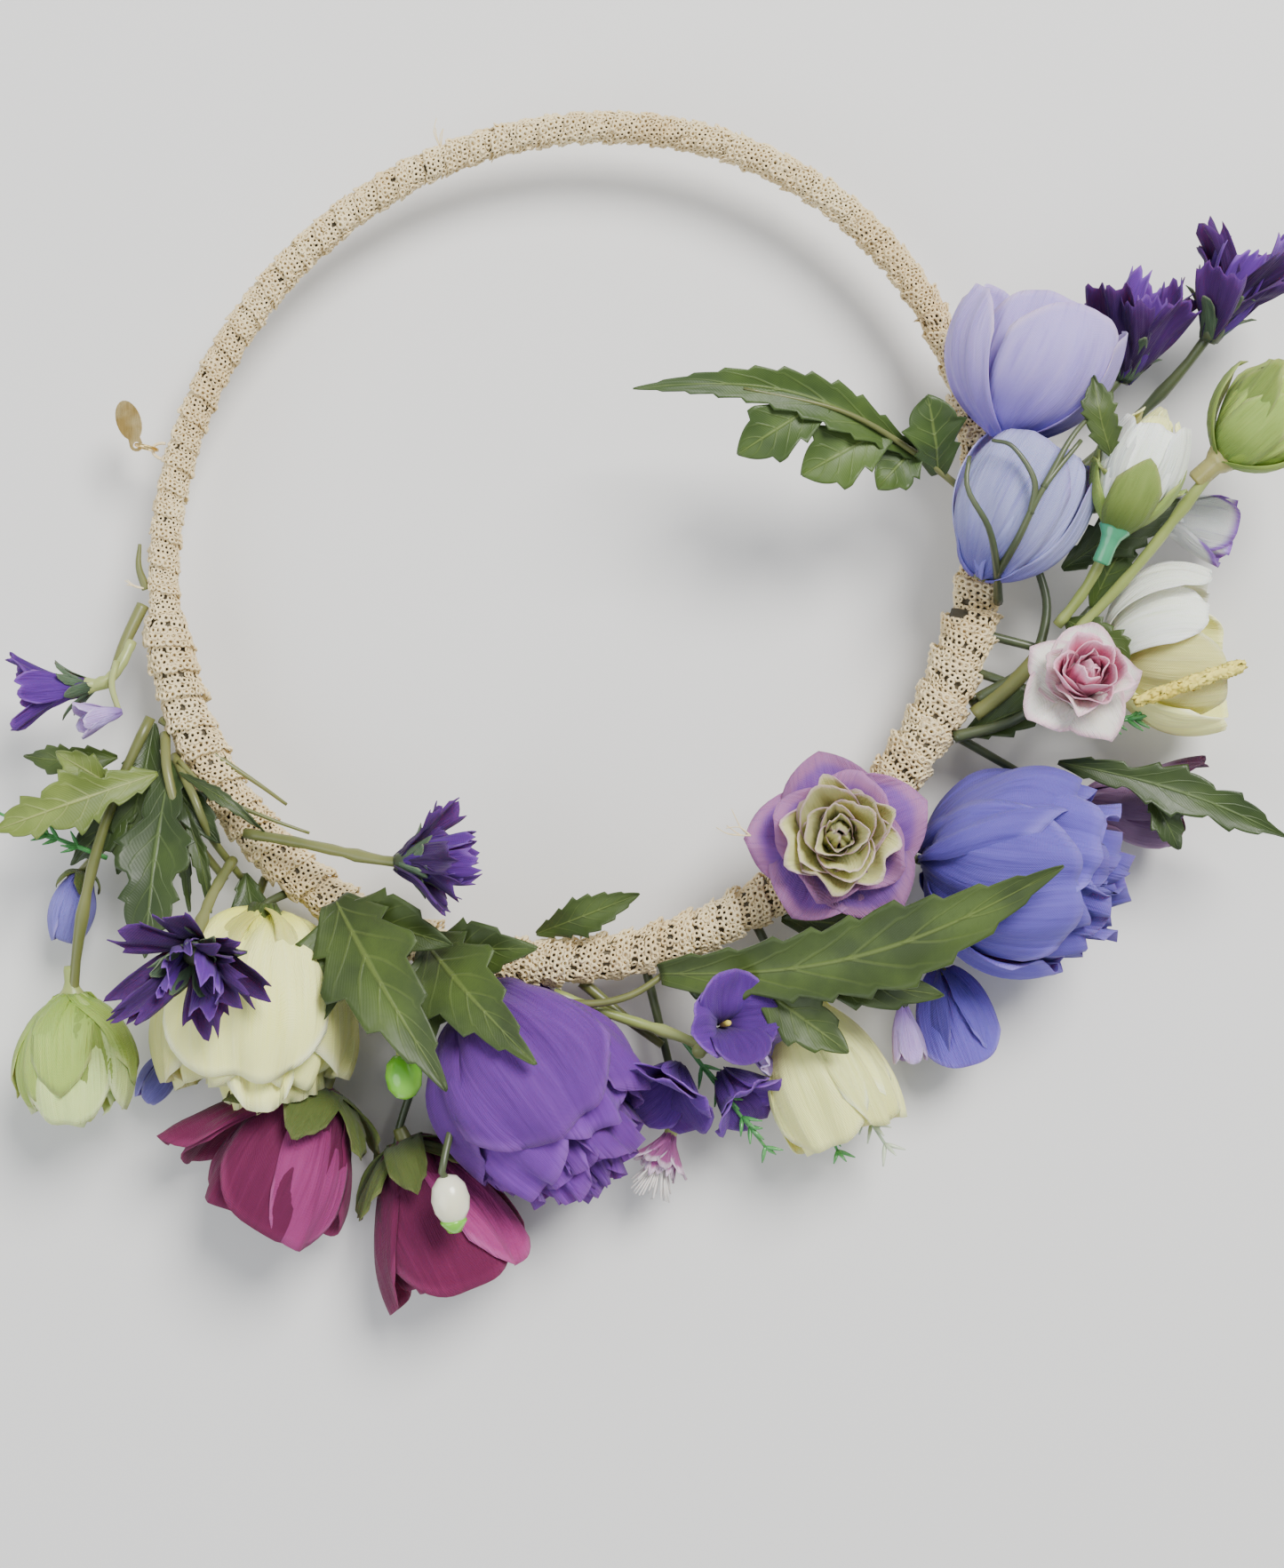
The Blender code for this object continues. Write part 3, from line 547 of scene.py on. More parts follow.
# %% Seats
def seat_of(node, azimuth, rise):
    """(matrix, length, half width) of a head that points this way, in millimetres."""
    points = np.array([vert.co for vert in NODES[node].data.vertices])
    az, el = math.radians(azimuth), math.radians(rise)
    axis = Vector((math.cos(el) * math.cos(az), math.cos(el) * math.sin(az), math.sin(el)))
    side = Vector((0, 0, 1)).cross(axis).normalized() if abs(axis.z) < 0.999 else Vector((1, 0, 0))
    lift = axis.cross(side)
    along = points @ np.array(axis)
    base_ring = points[along < along.min() + 0.02 * (along.max() - along.min())]
    base = Vector(base_ring.mean(axis=0))
    rel = points - np.array(base)
    reach_side = np.abs(rel @ np.array(side)).max() / MM
    turn = Matrix((side, lift, axis)).transposed().to_4x4()
    return Matrix.Translation(base) @ turn, (along.max() - along.min()) / MM, reach_side


# %% [markdown]
# ## The flower in hand
# A flower is gathered petal by petal, in the space of its own axis. Petals of one cloth share one
# mesh. A petal is asked for by where its tip should end up, since that is what the eye sees.

# %% Flower
SEATS = {}
PETAL_THICKNESS = 0.22
# A head made longer than its CAD solid starts this share of the extra length lower.
DRAWN_BACK = 0.45
# Ruffle, pleat, sway and crumple are given for a flower this wide, in millimetres.
USUAL_WIDTH = 36


class Flower:
    def __init__(self, node, azimuth, rise, longer=1.0, wider=1.0, thick=0.8, seed=1):
        seat, length, side = seat_of(node, azimuth, rise)
        SEATS[node] = seat
        self.node = node
        self.body = BODY_OF[node]
        self.rng = random.Random(seed)
        self.length = length * longer
        self.width = 2 * side * wider
        back = Matrix.Translation((0, 0, -(longer - 1) * length * DRAWN_BACK * MM))
        self.seat = seat @ back @ Matrix.Diagonal((1, thick, 1, 1))
        self.local = Matrix.Identity(4)
        self.parts = {}

    def mesh(self, look):
        if look not in self.parts:
            self.parts[look] = bmesh.new()
        return self.parts[look]

    def petal(self, look, turn, reach=0.9, height=1.0, close=0.0, width=0.6, start=0.05, rise=0.0, **style):
        """Adds a petal whose tip ends at this share of the flower's half width and length."""
        r0 = start * self.width / 2
        far = max(0.05, reach * self.width / 2 - r0)
        up = max(0.05, (height - rise) * self.length)
        b = math.radians(close)
        a = 2 * math.atan2(far, up) - b
        length = up * (a - b) / (math.sin(a) - math.sin(b)) if abs(a - b) > 1e-3 else up / math.cos(a)
        style.setdefault("crumple", 0.55)
        for key in ("ruffle", "pleat", "sway", "crumple"):
            if key in style:
                style[key] = style[key] * self.width / USUAL_WIDTH
        made = add_petal(
            self.mesh(look), self.rng, math.radians(turn), length, width * self.width,
            lean=(math.degrees(a), close), start=(r0, rise * self.length), **style,
        )
        if self.local != Matrix.Identity(4):
            place_in(made, self.local)
        return made

    def ring(self, look, count, first=90.0, jitter=6.0, vary=0.05, **style):
        """Adds a whorl of petals, each a little different."""
        for i in range(count):
            turn = first + 360.0 * i / count + self.rng.uniform(-jitter, jitter)
            own = dict(style)
            for key in ("reach", "height", "width"):
                own[key] = own.get(key, 0.9) * (1 + self.rng.uniform(-vary, vary))
            self.petal(look, turn, **own)

    def lathe(self, look, profile, steps=14):
        """Adds a turned solid; profile rows are (radius, height) in millimetres, both ends on the axis."""
        made = turned(self.mesh(look), profile, steps)
        place_in(made, self.local)

    def done(self):
        """Makes one piece of the petals of each cloth."""
        for look, bm in self.parts.items():
            bmesh.ops.transform(bm, matrix=self.seat, verts=bm.verts)
            material = PETALS.get(look) or LEAF_LOOKS.get(look) or SOLID_LOOKS[look]
            solid = look in SOLID_LOOKS
            name = f"{self.node}.{look}"
            finish_piece(name, bm, material, self.body, (self.node,), PETAL_THICKNESS, solid=solid)


SOLID_LOOKS = {
    "olive": STEM_LOOK, "light": STEM_LIGHT, "dark": STEM_DARK, "tan": SOCKET_TAN, "mint": SOCKET_MINT,
    "berry": BERRY_LOOK, "snow": SNOWDROP_LOOK, "yellow": YELLOW_LOOK, "fuzz": FUZZ_LOOK, "yarn": YARN_LOOK,
}


def turned(bm, profile, steps=14):
    """A closed solid of revolution: a ball whose rings are moved to the profile."""
    rings = len(profile) - 1
    before = set(bm.verts)
    bmesh.ops.create_uvsphere(bm, u_segments=steps, v_segments=rings, radius=1.0)
    made = [vert for vert in bm.verts if vert not in before]
    for vert in made:
        k = round(math.acos(max(-1.0, min(1.0, -vert.co.z))) * rings / math.pi)
        radius, height = profile[k]
        flat = Vector((vert.co.x, vert.co.y, 0))
        flat = flat.normalized() if flat.length > 1e-6 else flat
        vert.co = (flat * radius + Vector((0, 0, height))) * MM
    return made


def tube(bm, path, radii, sides=10):
    """A closed round rod: a ball whose rings are moved onto the path. Path in metres, radii in mm."""
    rings = len(path) + 1
    before = set(bm.verts)
    bmesh.ops.create_uvsphere(bm, u_segments=sides, v_segments=rings, radius=1.0)
    made = [vert for vert in bm.verts if vert not in before]
    path = [Vector(point) for point in path]
    frames = []
    side = None
    for i, point in enumerate(path):
        ahead = path[min(i + 1, len(path) - 1)] - path[max(i - 1, 0)]
        ahead.normalize()
        if side is None:
            side = ahead.orthogonal().normalized()
        side = (side - ahead * side.dot(ahead)).normalized()
        frames.append((point, side, ahead.cross(side)))
    for vert in made:
        k = round(math.acos(max(-1.0, min(1.0, -vert.co.z))) * rings / math.pi)
        if k == 0:
            vert.co = path[0]
        elif k == rings:
            vert.co = path[-1]
        else:
            point, right, up = frames[k - 1]
            flat = Vector((vert.co.x, vert.co.y, 0)).normalized()
            vert.co = point + (right * flat.x + up * flat.y) * radii[k - 1] * MM
    return made


def curve_through(points, count):
    """Evenly spaced points of a smooth curve through these."""
    pts = np.array([list(point) for point in points], float)
    if len(pts) == 2:
        share = np.linspace(0, 1, count)[:, None]
        return [Vector(row) for row in pts[0] * (1 - share) + pts[1] * share]
    pad = np.vstack([2 * pts[0] - pts[1], pts, 2 * pts[-1] - pts[-2]])
    fine = []
    for i in range(1, len(pad) - 2):
        p0, p1, p2, p3 = pad[i - 1 : i + 3]
        for t in np.linspace(0, 1, 12, endpoint=False):
            fine.append(0.5 * (2 * p1 + (p2 - p0) * t + (2 * p0 - 5 * p1 + 4 * p2 - p3) * t**2
                               + (3 * p1 - p0 - 3 * p2 + p3) * t**3))
    fine = np.array(fine + [pts[-1]])
    walk = np.concatenate([[0], np.cumsum(np.linalg.norm(np.diff(fine, axis=0), axis=1))])
    at = np.linspace(0, walk[-1], count)
    return [Vector([np.interp(a, walk, fine[:, j]) for j in range(3)]) for a in at]


# %% [markdown]
# ## Kinds of flower
# The same few constructions serve them all: a cup of broad petals, a ball of ruffled petals inside
# a cup, a bud held by sepals, a fan of ragged petals over a spiky calyx, and a spiral.

# %% Kinds of flower
def sepals(f, look, count, height, reach, width=0.34, close=-12, first=70, **style):
    style = {"tip": "point", "belly": 0.38, "base": 0.5, "grid": (6, 10), "rough": 0.05, **style}
    f.ring(look, count, first, 8, 0.1, height=height, reach=reach, width=width, close=close, start=0.1,
           **style)


def receptacle(f, look, radius, height, drop=0.0):
    f.lathe(look, [(0, -drop - 0.4), (radius * 0.55, -drop - 0.4), (radius * 0.6, -drop),
                   (radius * 0.75, 0.1),
                   (radius, height * 0.5), (radius * 0.9, height * 0.9), (radius * 0.5, height), (0, height)])


def cup(f, look, count=3, first=90, close=-14, width=0.78, inner=None, pleat=0.3, ruffle=0.5, **style):
    """Two whorls of broad petals, the inner one standing in the gaps."""
    style = {"tip": "round", "grid": (18, 20), "rough": 0.03, **style}
    f.ring(inner or look, count, first + 180 / count, 8, 0.04, reach=0.62, height=0.98, close=close,
           width=width * 0.9, pleat=pleat, ruffle=ruffle, **style)
    f.ring(look, count, first, 8, 0.04, reach=0.8, height=1.0, close=close, width=width, pleat=pleat,
           ruffle=ruffle, **style)


def peony(f, outer, inner, rows=((12, 0.18), (11, 0.4), (10, 0.6)), outer_height=0.82, first=95):
    """A cup of smooth outer petals round a ball of ruffled ones."""
    for k, (count, reach) in enumerate(rows):
        f.ring(inner, count, 40 * k, 14, 0.12, reach=reach, height=1.0 - 0.02 * k, close=-24 + 14 * k,
               width=0.32 + 0.05 * k, ruffle=1.25, waves=3.0, pleat=0.35, rough=0.09, tip="round",
               grid=(12, 12), base=0.3, start=0.04)
    f.ring(outer, 5, first + 36, 7, 0.05, reach=0.74, height=(outer_height + 1) / 2, close=-24, width=0.66,
           ruffle=1.3, pleat=0.6, pleats=5, tip="round", grid=(20, 20), rough=0.06, crumple=1.0)
    f.ring(outer, 4, first, 9, 0.07, reach=0.86, height=outer_height, close=-24, width=0.86, ruffle=1.2,
           pleat=0.65, pleats=5, tip="round", grid=(22, 22), rough=0.06, crumple=1.0)


def cornflower(f, tip="torn", wide=0.34, petals=8):
    """A fan of ragged petals that widen to torn ends, over a calyx of spiky bracts."""
    for k, (count, reach, height) in enumerate(((4, 0.40, 1.0), (petals, 0.98, 0.82))):
        f.ring("dark_violet" if k else "violet_bright", count, 20 * k + 10, 20, 0.26, reach=reach,
               height=height, close=-5 + 55 * k, width=wide, base=0.26, belly=0.88, tip=tip, ruffle=1.5,
               waves=1.4, cup=0.3, rough=0.14, grid=(14, 18), start=0.06, sway=4.5)
    f.ring("calyx_grey", 8, 10, 10, 0.2, reach=0.60, height=0.42, close=62, width=0.12, base=0.9, belly=0.2,
           tip="point", grid=(5, 10), rough=0.06, fold=0.25, start=0.12, cup=0.6)
    f.ring("calyx_grey", 7, 30, 10, 0.2, reach=0.42, height=0.54, close=24, width=0.14, base=0.9, belly=0.2,
           tip="point", grid=(5, 10), rough=0.06, fold=0.25, start=0.12, cup=0.6)
    receptacle(f, "dark", 2.9, 5.5)


def bud(f, look, heart, leafy, count=5, sepal_height=0.62, sepal_reach=0.8):
    """Closed petals wrapped round each other and held by leafy sepals."""
    f.ring(heart, 3, 30, 10, 0.05, reach=0.12, height=1.0, close=-40, width=0.5, tip="round", ruffle=0.4,
           grid=(12, 16),
           start=0.05)
    f.ring(heart, 4, 75, 10, 0.05, reach=0.4, height=0.97, close=-38, width=0.6, tip="point", ruffle=0.6,
           grid=(12, 16))
    f.ring(look, count, 90, 8, 0.05, reach=0.66, height=0.9, close=-28, width=0.66, tip="round", ruffle=0.6,
           grid=(14, 18), pleat=0.15)
    sepals(f, leafy, 4, sepal_height, sepal_reach, 0.5, -14, 90, ruffle=0.6)


def floret(f, look, count=5, reach=1.0, height=0.7, close=80, width=0.5):
    """A small open flower with a dot of pollen."""
    f.ring(look, count, 90, 7, 0.08, reach=reach, height=height, close=close, width=width, base=0.2,
           belly=0.7, tip="round", ruffle=0.9, waves=2.0, grid=(10, 12), cup=0.5, start=0.05, rough=0.06)
    z = f.length * height * 0.45
    f.lathe("yellow", [(0, z * 0.3), (0.8, z * 0.35), (1.1, z), (0.8, z + 0.7), (0, z + 0.9)], 10)


def filaments(f, look, count, reach, height, radius=0.16, knob=0.34):
    """Stamens: thin threads that fan out, each with a knob."""
    for i in range(count):
        turn = math.tau * (i + f.rng.uniform(-0.3, 0.3)) / count
        r = reach * f.width / 2 * f.rng.uniform(0.6, 1.0)
        h = height * f.length * f.rng.uniform(0.85, 1.1)
        way = Vector((math.cos(turn), math.sin(turn), 0))
        path = curve_through([Vector((0, 0, 0.1 * h)) * MM, (way * r * 0.35 + Vector((0, 0, h * 0.6))) * MM,
                              (way * r + Vector((0, 0, h))) * MM], 6)
        made = tube(f.mesh(look), path, [radius, radius, radius, radius, knob, knob * 0.8], 6)
        place_in(made, f.local)


def cosmos(f, look, look_pale, calyx, pale_turn):
    """Broad silky petals seen from behind, under a calyx like a star."""
    f.ring(look, 3, 10, 8, 0.06, reach=0.6, height=0.98, close=-16, width=0.74, ruffle=1.2, waves=2.2,
           pleat=0.3, grid=(18, 18), tip="round")
    f.ring(look, 3, 70, 8, 0.06, reach=0.86, height=0.97, close=-4, width=0.78, ruffle=1.0, waves=1.8,
           pleat=0.3, grid=(18, 20), tip="round")
    f.petal(look_pale, pale_turn, reach=0.92, height=0.99, close=2, width=0.46, ruffle=1.4, waves=1.6,
            pleat=0.3, grid=(16, 18), tip="round")
    f.ring(calyx, 6, 90, 5, 0.14, reach=0.86, height=0.34, close=32, width=0.23, tip="point", base=0.9,
           belly=0.25, grid=(8, 12), fold=0.06, start=0.06, cup=0.5, ruffle=0.7)
    receptacle(f, "olive", 2.6, 3.0, 2.5)


# %% [markdown]
# ## The flowers on the right
# Anemones, buds and cornflowers on long stems, then the pansies, the calla, and the two roses.

# %% Flowers on the right
f = Flower("lavender_upper", 71.5, 8, 1.12, 1.26, 0.85, 11)
for turn, reach, height, close, wide in ((320, 0.8, 0.98, -12, 0.7), (255, 0.75, 1.0, -14, 0.8),
                                         (180, 0.92, 0.93, -18, 0.6),
                                         (88, 0.70, 1.0, -16, 0.72), (118, 0.84, 0.97, -20, 0.86),
                                         (22, 0.92, 0.90, -22, 0.56)):
    f.petal("lavender", turn, reach=reach, height=height, close=close, width=wide, pleat=0.5, pleats=4,
            ruffle=0.5, grid=(22, 22))
receptacle(f, "olive", 2.8, 3.0)
f.done()

f = Flower("lavender_lower", 63.6, 6, 1.18, 1.24, 0.85, 12)
cup(f, "lavender_blue", 3, 80, -30, 0.86, None, 0.5, 0.5, pleats=4)
f.petal("lavender_blue", 112, reach=0.76, height=1.0, close=-30, width=0.52, pleat=0.4, ruffle=0.4,
        grid=(18, 20))
receptacle(f, "olive", 2.8, 3.0)
f.done()

f = Flower("white_rosebud", 69, 8, 1.1, 1.32, 0.9, 13)
bud(f, "white", "cream", "sepal", 5, 0.66, 0.86)
f.ring("sepal", 2, 20, 6, 0.1, reach=1.0, height=0.5, close=60, width=0.36, tip="point", base=0.4, ruffle=1.2,
       grid=(8, 12), start=0.1)
f.lathe("mint", [(0, -7.5), (1.7, -7.5), (2.0, -7.0), (1.9, -3.5), (2.3, -1.5), (3.6, 0.4), (3.0, 2.0),
                 (0, 2.2)], 18)
f.done()

f = Flower("green_bud_right", 42.1, 16, 1.16, 1.2, 0.9, 14)
bud(f, "green_bud", "green_heart", "sepal", 5, 0.7, 0.9)
f.ring("sepal", 3, 60, 6, 0.1, reach=1.05, height=0.92, close=8, width=0.42, tip="point", base=0.5,
       ruffle=1.4, grid=(10, 14), start=0.1, curl=0.05)
f.lathe("tan", [(0, -7.0), (1.9, -7.0), (2.3, -6.4), (2.3, -2.0), (3.0, -1.0), (3.7, 0.6), (2.6, 2.0),
                (0, 2.2)], 18)
f.done()

f = Flower("cornflower_near", 75.2, 6, 1.2, 1.42, 0.8, 15)
cornflower(f)
f.done()
f = Flower("cornflower_far", 70, 12, 1.2, 1.32, 0.8, 16)
cornflower(f)
f.done()

f = Flower("white_pansy", 343.5, 4, 1.08, 1.1, 0.8, 17)
cup(f, "white_violet", 3, 80, 2, 0.84, None, 0.3, 1.4, waves=3)
receptacle(f, "olive", 1.8, 2.0)
f.done()

f = Flower("calla", 0.9, 14, 1.06, 1.55, 0.72, 18)
for look, turn, reach, height, close, wide in (
    ("white", 330, 0.9, 0.84, -24, 0.56), ("white", 20, 0.98, 0.86, -30, 0.50),
    ("white", 52, 0.80, 0.84, -26, 0.44),
    ("cream", 300, 0.5, 0.98, -14, 0.5), ("cream", 220, 0.75, 1.0, -14, 0.52),
    ("cream", 168, 0.8, 0.98, -22, 0.5),
    ("cream", 112, 0.66, 1.0, -18, 0.6),
):
    f.petal(look, turn, reach=reach, height=height, close=close, width=wide, pleat=0.3, pleats=4,
            ruffle=0.5, grid=(18, 20))
receptacle(f, "olive", 2.6, 2.5)
f.done()

f = Flower("pink_rosebud", 82.6, 74, 1.0, 1.2, 1.0, 19)
for k, (look, count, reach, height, close, width) in enumerate((
    ("pink", 3, 0.03, 0.97, -34, 0.22), ("pink", 3, 0.22, 1.0, -6, 0.36), ("pink", 3, 0.36, 1.0, 2, 0.48),
    ("pink", 4, 0.50, 0.95, 14, 0.50), ("pink_white", 4, 0.64, 0.82, 46, 0.56),
    ("pink_white", 5, 0.98, 0.52, 92, 0.62),
)):
    f.ring(look, count, 67 * k, 9, 0.07, reach=reach, height=height, close=close, width=width,
           tip="ogee" if k > 3 else "round", ruffle=0.8 if k < 4 else 1.7, waves=1.8, pleat=0.3,
           grid=(14, 16),
           curl=0.05 if k > 1 else 0.0, cup=1.1 if k < 4 else 0.8)
receptacle(f, "olive", 2.4, 2.5)
f.done()

f = Flower("mauve_pansy", 354.6, 4, 1.1, 1.26, 0.72, 20)
f.ring("mauve_dark", 3, 100, 8, 0.05, reach=0.82, height=0.96, close=-6, width=0.84, tip="round",
       ruffle=1.3, waves=2.2, pleat=0.25, grid=(16, 18))
f.petal("plum", 8, reach=1.0, height=1.25, close=10, width=0.62, tip="heart", ruffle=1.6, waves=2.2,
        grid=(16, 18))
f.petal("plum", 120, reach=0.8, height=1.02, close=-6, width=0.6, tip="round", ruffle=1.4, waves=2.2,
        grid=(16, 18))
receptacle(f, "olive", 1.8, 2.0)
f.done()

f = Flower("rose", 119.6, 83, 0.95, 1.06, 1.0, 21)
for k, (look, count, reach, height, close, width) in enumerate((
    ("rose_heart", 3, 0.02, 0.95, -34, 0.14), ("rose_heart", 2, 0.16, 0.97, 0, 0.26),
    ("rose_heart", 3, 0.25, 1.0, 6, 0.32),
    ("rose_heart", 3, 0.34, 1.0, 6, 0.46), ("rose_heart", 4, 0.44, 0.97, 12, 0.50),
    ("rose_heart", 5, 0.54, 0.90, 22, 0.52),
    ("mauve", 4, 0.72, 0.78, 62, 0.56), ("mauve", 5, 0.98, 0.50, 88, 0.62),
)):
    f.ring(look, count, 67 * k, 9, 0.07, reach=reach, height=height, close=close, width=width,
           tip="ogee" if k > 5 else "round", ruffle=0.5 if k < 5 else 1.6, waves=1.6,
           pleat=0.1 if k < 6 else 0.4, grid=(16, 16), cup=1.15 if k < 6 else 0.8, curl=0.07,
           start=0.03 if k < 4 else 0.08)
receptacle(f, "olive", 3.0, 2.5)
f.done()
print("right side ready")

# %% [markdown]
# ## The flowers at the front
# Peonies, a tulip, small violets and the two cosmos hang outwards under the winding.

# %% Flowers at the front
f = Flower("blue_peony", 355.6, 8, 1.12, 1.28, 0.85, 31)
peony(f, "blue", "blue", outer_height=0.78, first=100)
receptacle(f, "olive", 3.2, 3.0)
f.done()

f = Flower("blue_anemone", 286.8, 4, 1.02, 1.08, 0.7, 32)
f.ring("blue", 2, 180, 6, 0.05, reach=0.6, height=0.9, close=-14, width=0.7, tip="round", pleat=0.3,
       ruffle=0.8, grid=(16, 18))
f.petal("blue", 88, reach=0.5, height=1.0, close=0, width=0.94, tip="round", pleat=0.5, pleats=4,
        ruffle=0.7, cup=0.5, grid=(20, 20), base=0.3)
receptacle(f, "olive", 1.8, 2.0)
f.done()

f = Flower("lilac_floret", 278.4, 4, 1.1, 1.05, 0.8, 33)
f.ring("lilac", 4, 80, 8, 0.06, reach=0.7, height=0.98, close=-4, width=0.6, tip="round", ruffle=1.0,
       grid=(10, 12))
f.done()

f = Flower("ivory_tulip", 292.7, 2, 1.02, 1.18, 0.8, 34)
cup(f, "cream", 3, 112, -14, 0.9, None, 0.6, 0.9, pleats=7)
f.petal("cream", 50, reach=0.86, height=0.98, close=-8, width=0.5, pleat=0.6, pleats=4, ruffle=0.9,
        grid=(18, 20))
receptacle(f, "olive", 2.6, 3.0)
f.done()

f = Flower("violet_floret", 278.9, 70, 1.1, 1.16, 1.0, 35)
for shift, tilt, size, look in (
    (Vector((5.0, 5.5, 2.0)), (-30, 26), 0.66, "violet_bright"),
    (Vector((-5.0, -3.5, 0.0)), (30, -30), 0.74, "violet_bright"),
    (Vector((4.5, -6.5, 0.0)), (42, 26), 0.60, "violet_bright"),
    (Vector((8.0, -1.0, -2.0)), (10, 55), 0.36, "lilac"),
):
    turn = Matrix.Rotation(math.radians(tilt[0]), 4, "X") @ Matrix.Rotation(math.radians(tilt[1]), 4, "Y")
    f.local = Matrix.Translation(shift * MM) @ turn @ Matrix.Diagonal((size, size, 1, 1))
    floret(f, look, 4 + (size > 0.7), 1.05, 0.75, 84, 0.78)
f.local = Matrix.Identity(4)
receptacle(f, "light", 1.6, 3.0)
f.done()

f = Flower("pink_daisy", 249.6, 4, 1.05, 1.15, 0.8, 36)
f.ring("pink_daisy", 7, 10, 10, 0.1, reach=0.6, height=0.85, close=10, width=0.4, tip="toothed", ruffle=0.8,
       grid=(9, 12))
f.ring("pink_daisy", 8, 34, 10, 0.1, reach=0.98, height=0.72, close=50, width=0.36, tip="round", ruffle=0.8,
       grid=(8, 10))
filaments(f, "fuzz", 30, 0.75, 1.16, 0.17, 0.26)
receptacle(f, "light", 1.6, 2.4)
f.done()

f = Flower("violet_peony", 306.4, 5, 1.1, 1.24, 0.85, 37)
peony(f, "violet", "violet", outer_height=0.76, first=90)
receptacle(f, "olive", 3.2, 3.0)
f.done()

f = Flower("snowdrop_bud", 278.1, -3, 1.08, 0.92, 1.0, 38)
h, w = f.length, f.width / 2
f.lathe("snow", [(0, 0), (w * 0.5, 0.05 * h), (w * 0.86, 0.2 * h), (w, 0.42 * h), (w * 0.9, 0.62 * h),
                 (w * 0.62, 0.78 * h),
                 (w * 0.3, 0.84 * h), (0, 0.85 * h)], 20)
f.lathe("berry", [(0, 0.74 * h), (w * 0.66, 0.765 * h), (w * 0.7, 0.81 * h), (w * 0.5, 0.9 * h),
                  (w * 0.36, 0.98 * h), (0, h)], 20)
f.done()

f = Flower("berry", 275.8, 0, 1.0, 1.02, 1.0, 39)
h, w = f.length, f.width / 2
f.lathe("berry", [(0, 0), (w * 0.45, 0.02 * h), (w * 0.86, 0.18 * h), (w, 0.45 * h), (w * 0.9, 0.72 * h),
                  (w * 0.55, 0.92 * h),
                  (w * 0.2, 0.98 * h), (0, h)], 24)
f.done()

f = Flower("magenta_right", 292.3, 3, 1.08, 1.26, 0.75, 40)
cosmos(f, "magenta", "magenta_pale", "calyx", 35)
f.done()
f = Flower("magenta_left", 241.3, 2, 1.08, 1.22, 0.75, 41)
cosmos(f, "magenta", "magenta_pale", "calyx", 55)
f.petal("magenta", 172, reach=1.18, height=0.84, close=22, width=0.56, tip="round", ruffle=1.6, waves=1.8,
        pleat=0.3, grid=(16, 18))
f.done()
print("front ready")

# %% [markdown]
# ## The flowers on the left
# An ivory peony with a cornflower on it, a green bud, blue buds and loose florets.

# %% Flowers on the left
f = Flower("ivory_peony", 266.9, 1, 1.18, 1.26, 0.8, 51)
peony(f, "ivory", "ivory", rows=((12, 0.2), (11, 0.44), (10, 0.66)), outer_height=0.90, first=85)
sepals(f, "calyx", 6, 0.16, 0.52, 0.24, 62, 90, rise=-0.05)
receptacle(f, "olive", 2.8, 2.0)
f.done()

f = Flower("cornflower_hanging", 273.6, 66, 1.3, 1.2, 0.9, 52)
cornflower(f, "ragged", 0.25, petals=9)
f.done()

f = Flower("green_bud_left", 273.2, 0, 1.06, 1.3, 0.85, 53)
bud(f, "green_heart", "green_heart", "green_bud", 4, 0.74, 0.80)
f.ring("green_bud", 4, 50, 10, 0.08, reach=0.64, height=0.84, close=-34, width=0.62, tip="toothed",
       ruffle=1.0, grid=(16, 18))
f.lathe("light", [(0, -6.0), (1.4, -6.0), (1.6, -5.0), (1.5, -2.5), (2.0, -1.0), (3.2, 0.6), (2.6, 2.0),
                  (0, 2.2)], 16)
f.done()

for node, azimuth, seed in (("blue_bud_left", 257.4, 54), ("blue_low_left", 237.6, 55)):
    f = Flower(node, azimuth, 0, 1.0, 1.12, 0.9, seed)
    f.ring("blue_pale", 3, 60, 8, 0.05, reach=0.45, height=1.0, close=-34, width=0.8, tip="round",
           ruffle=0.4, grid=(14, 16))
    sepals(f, "calyx", 4, 0.3, 0.7, 0.3)
    f.done()

f = Flower("floret_left", 187.6, 6, 1.15, 1.08, 0.8, 56)
f.ring("violet", 3, 70, 10, 0.1, reach=0.5, height=0.9, close=10, width=0.42, tip="heart", ruffle=1.6,
       grid=(12, 14))
f.ring("violet_bright", 5, 100, 12, 0.1, reach=0.95, height=0.95, close=40, width=0.4, tip="heart",
       ruffle=1.6, waves=2, grid=(12, 14), base=0.16, belly=0.75)
f.ring("calyx_grey", 7, 15, 10, 0.2, reach=0.66, height=0.42, close=50, width=0.14, base=0.9, belly=0.2,
       tip="point", grid=(4, 8), fold=0.2, start=0.12)
receptacle(f, "light", 2.0, 3.0, 2.5)
f.done()

f = Flower("lilac_small", 192.2, 22, 1.15, 1.15, 0.9, 57)
f.ring("lilac", 5, 80, 8, 0.08, reach=0.9, height=0.95, close=20, width=0.55, tip="round", ruffle=1.0,
       grid=(8, 10))
f.done()

f = Flower("cornflower_inner", 5.1, 5, 1.05, 1.14, 0.9, 58)
cornflower(f)
f.done()
print("left side ready")


# %% [markdown]
# ## Stems
# The stems are moulded plastic over a wire. Each follows the middle of its CAD stem, smoothed.
# Tendrils, fork twigs and sprigs are thinner rods of the same plastic.

# %% Stems
def hoop_ellipse():
    """Fits the hoop's centre line to the wire: 1/r^2 is a sum of cos^2, sin^2 and sin*cos terms."""
    points = np.array([vert.co for vert in NODES["hoop_wire"].data.vertices])[:, :2] / MM
    c, s = points[:, 0], points[:, 1]
    return np.linalg.lstsq(np.stack([c * c, s * s, c * s], 1), np.ones(len(c)), rcond=None)[0]


ELLIPSE = hoop_ellipse()


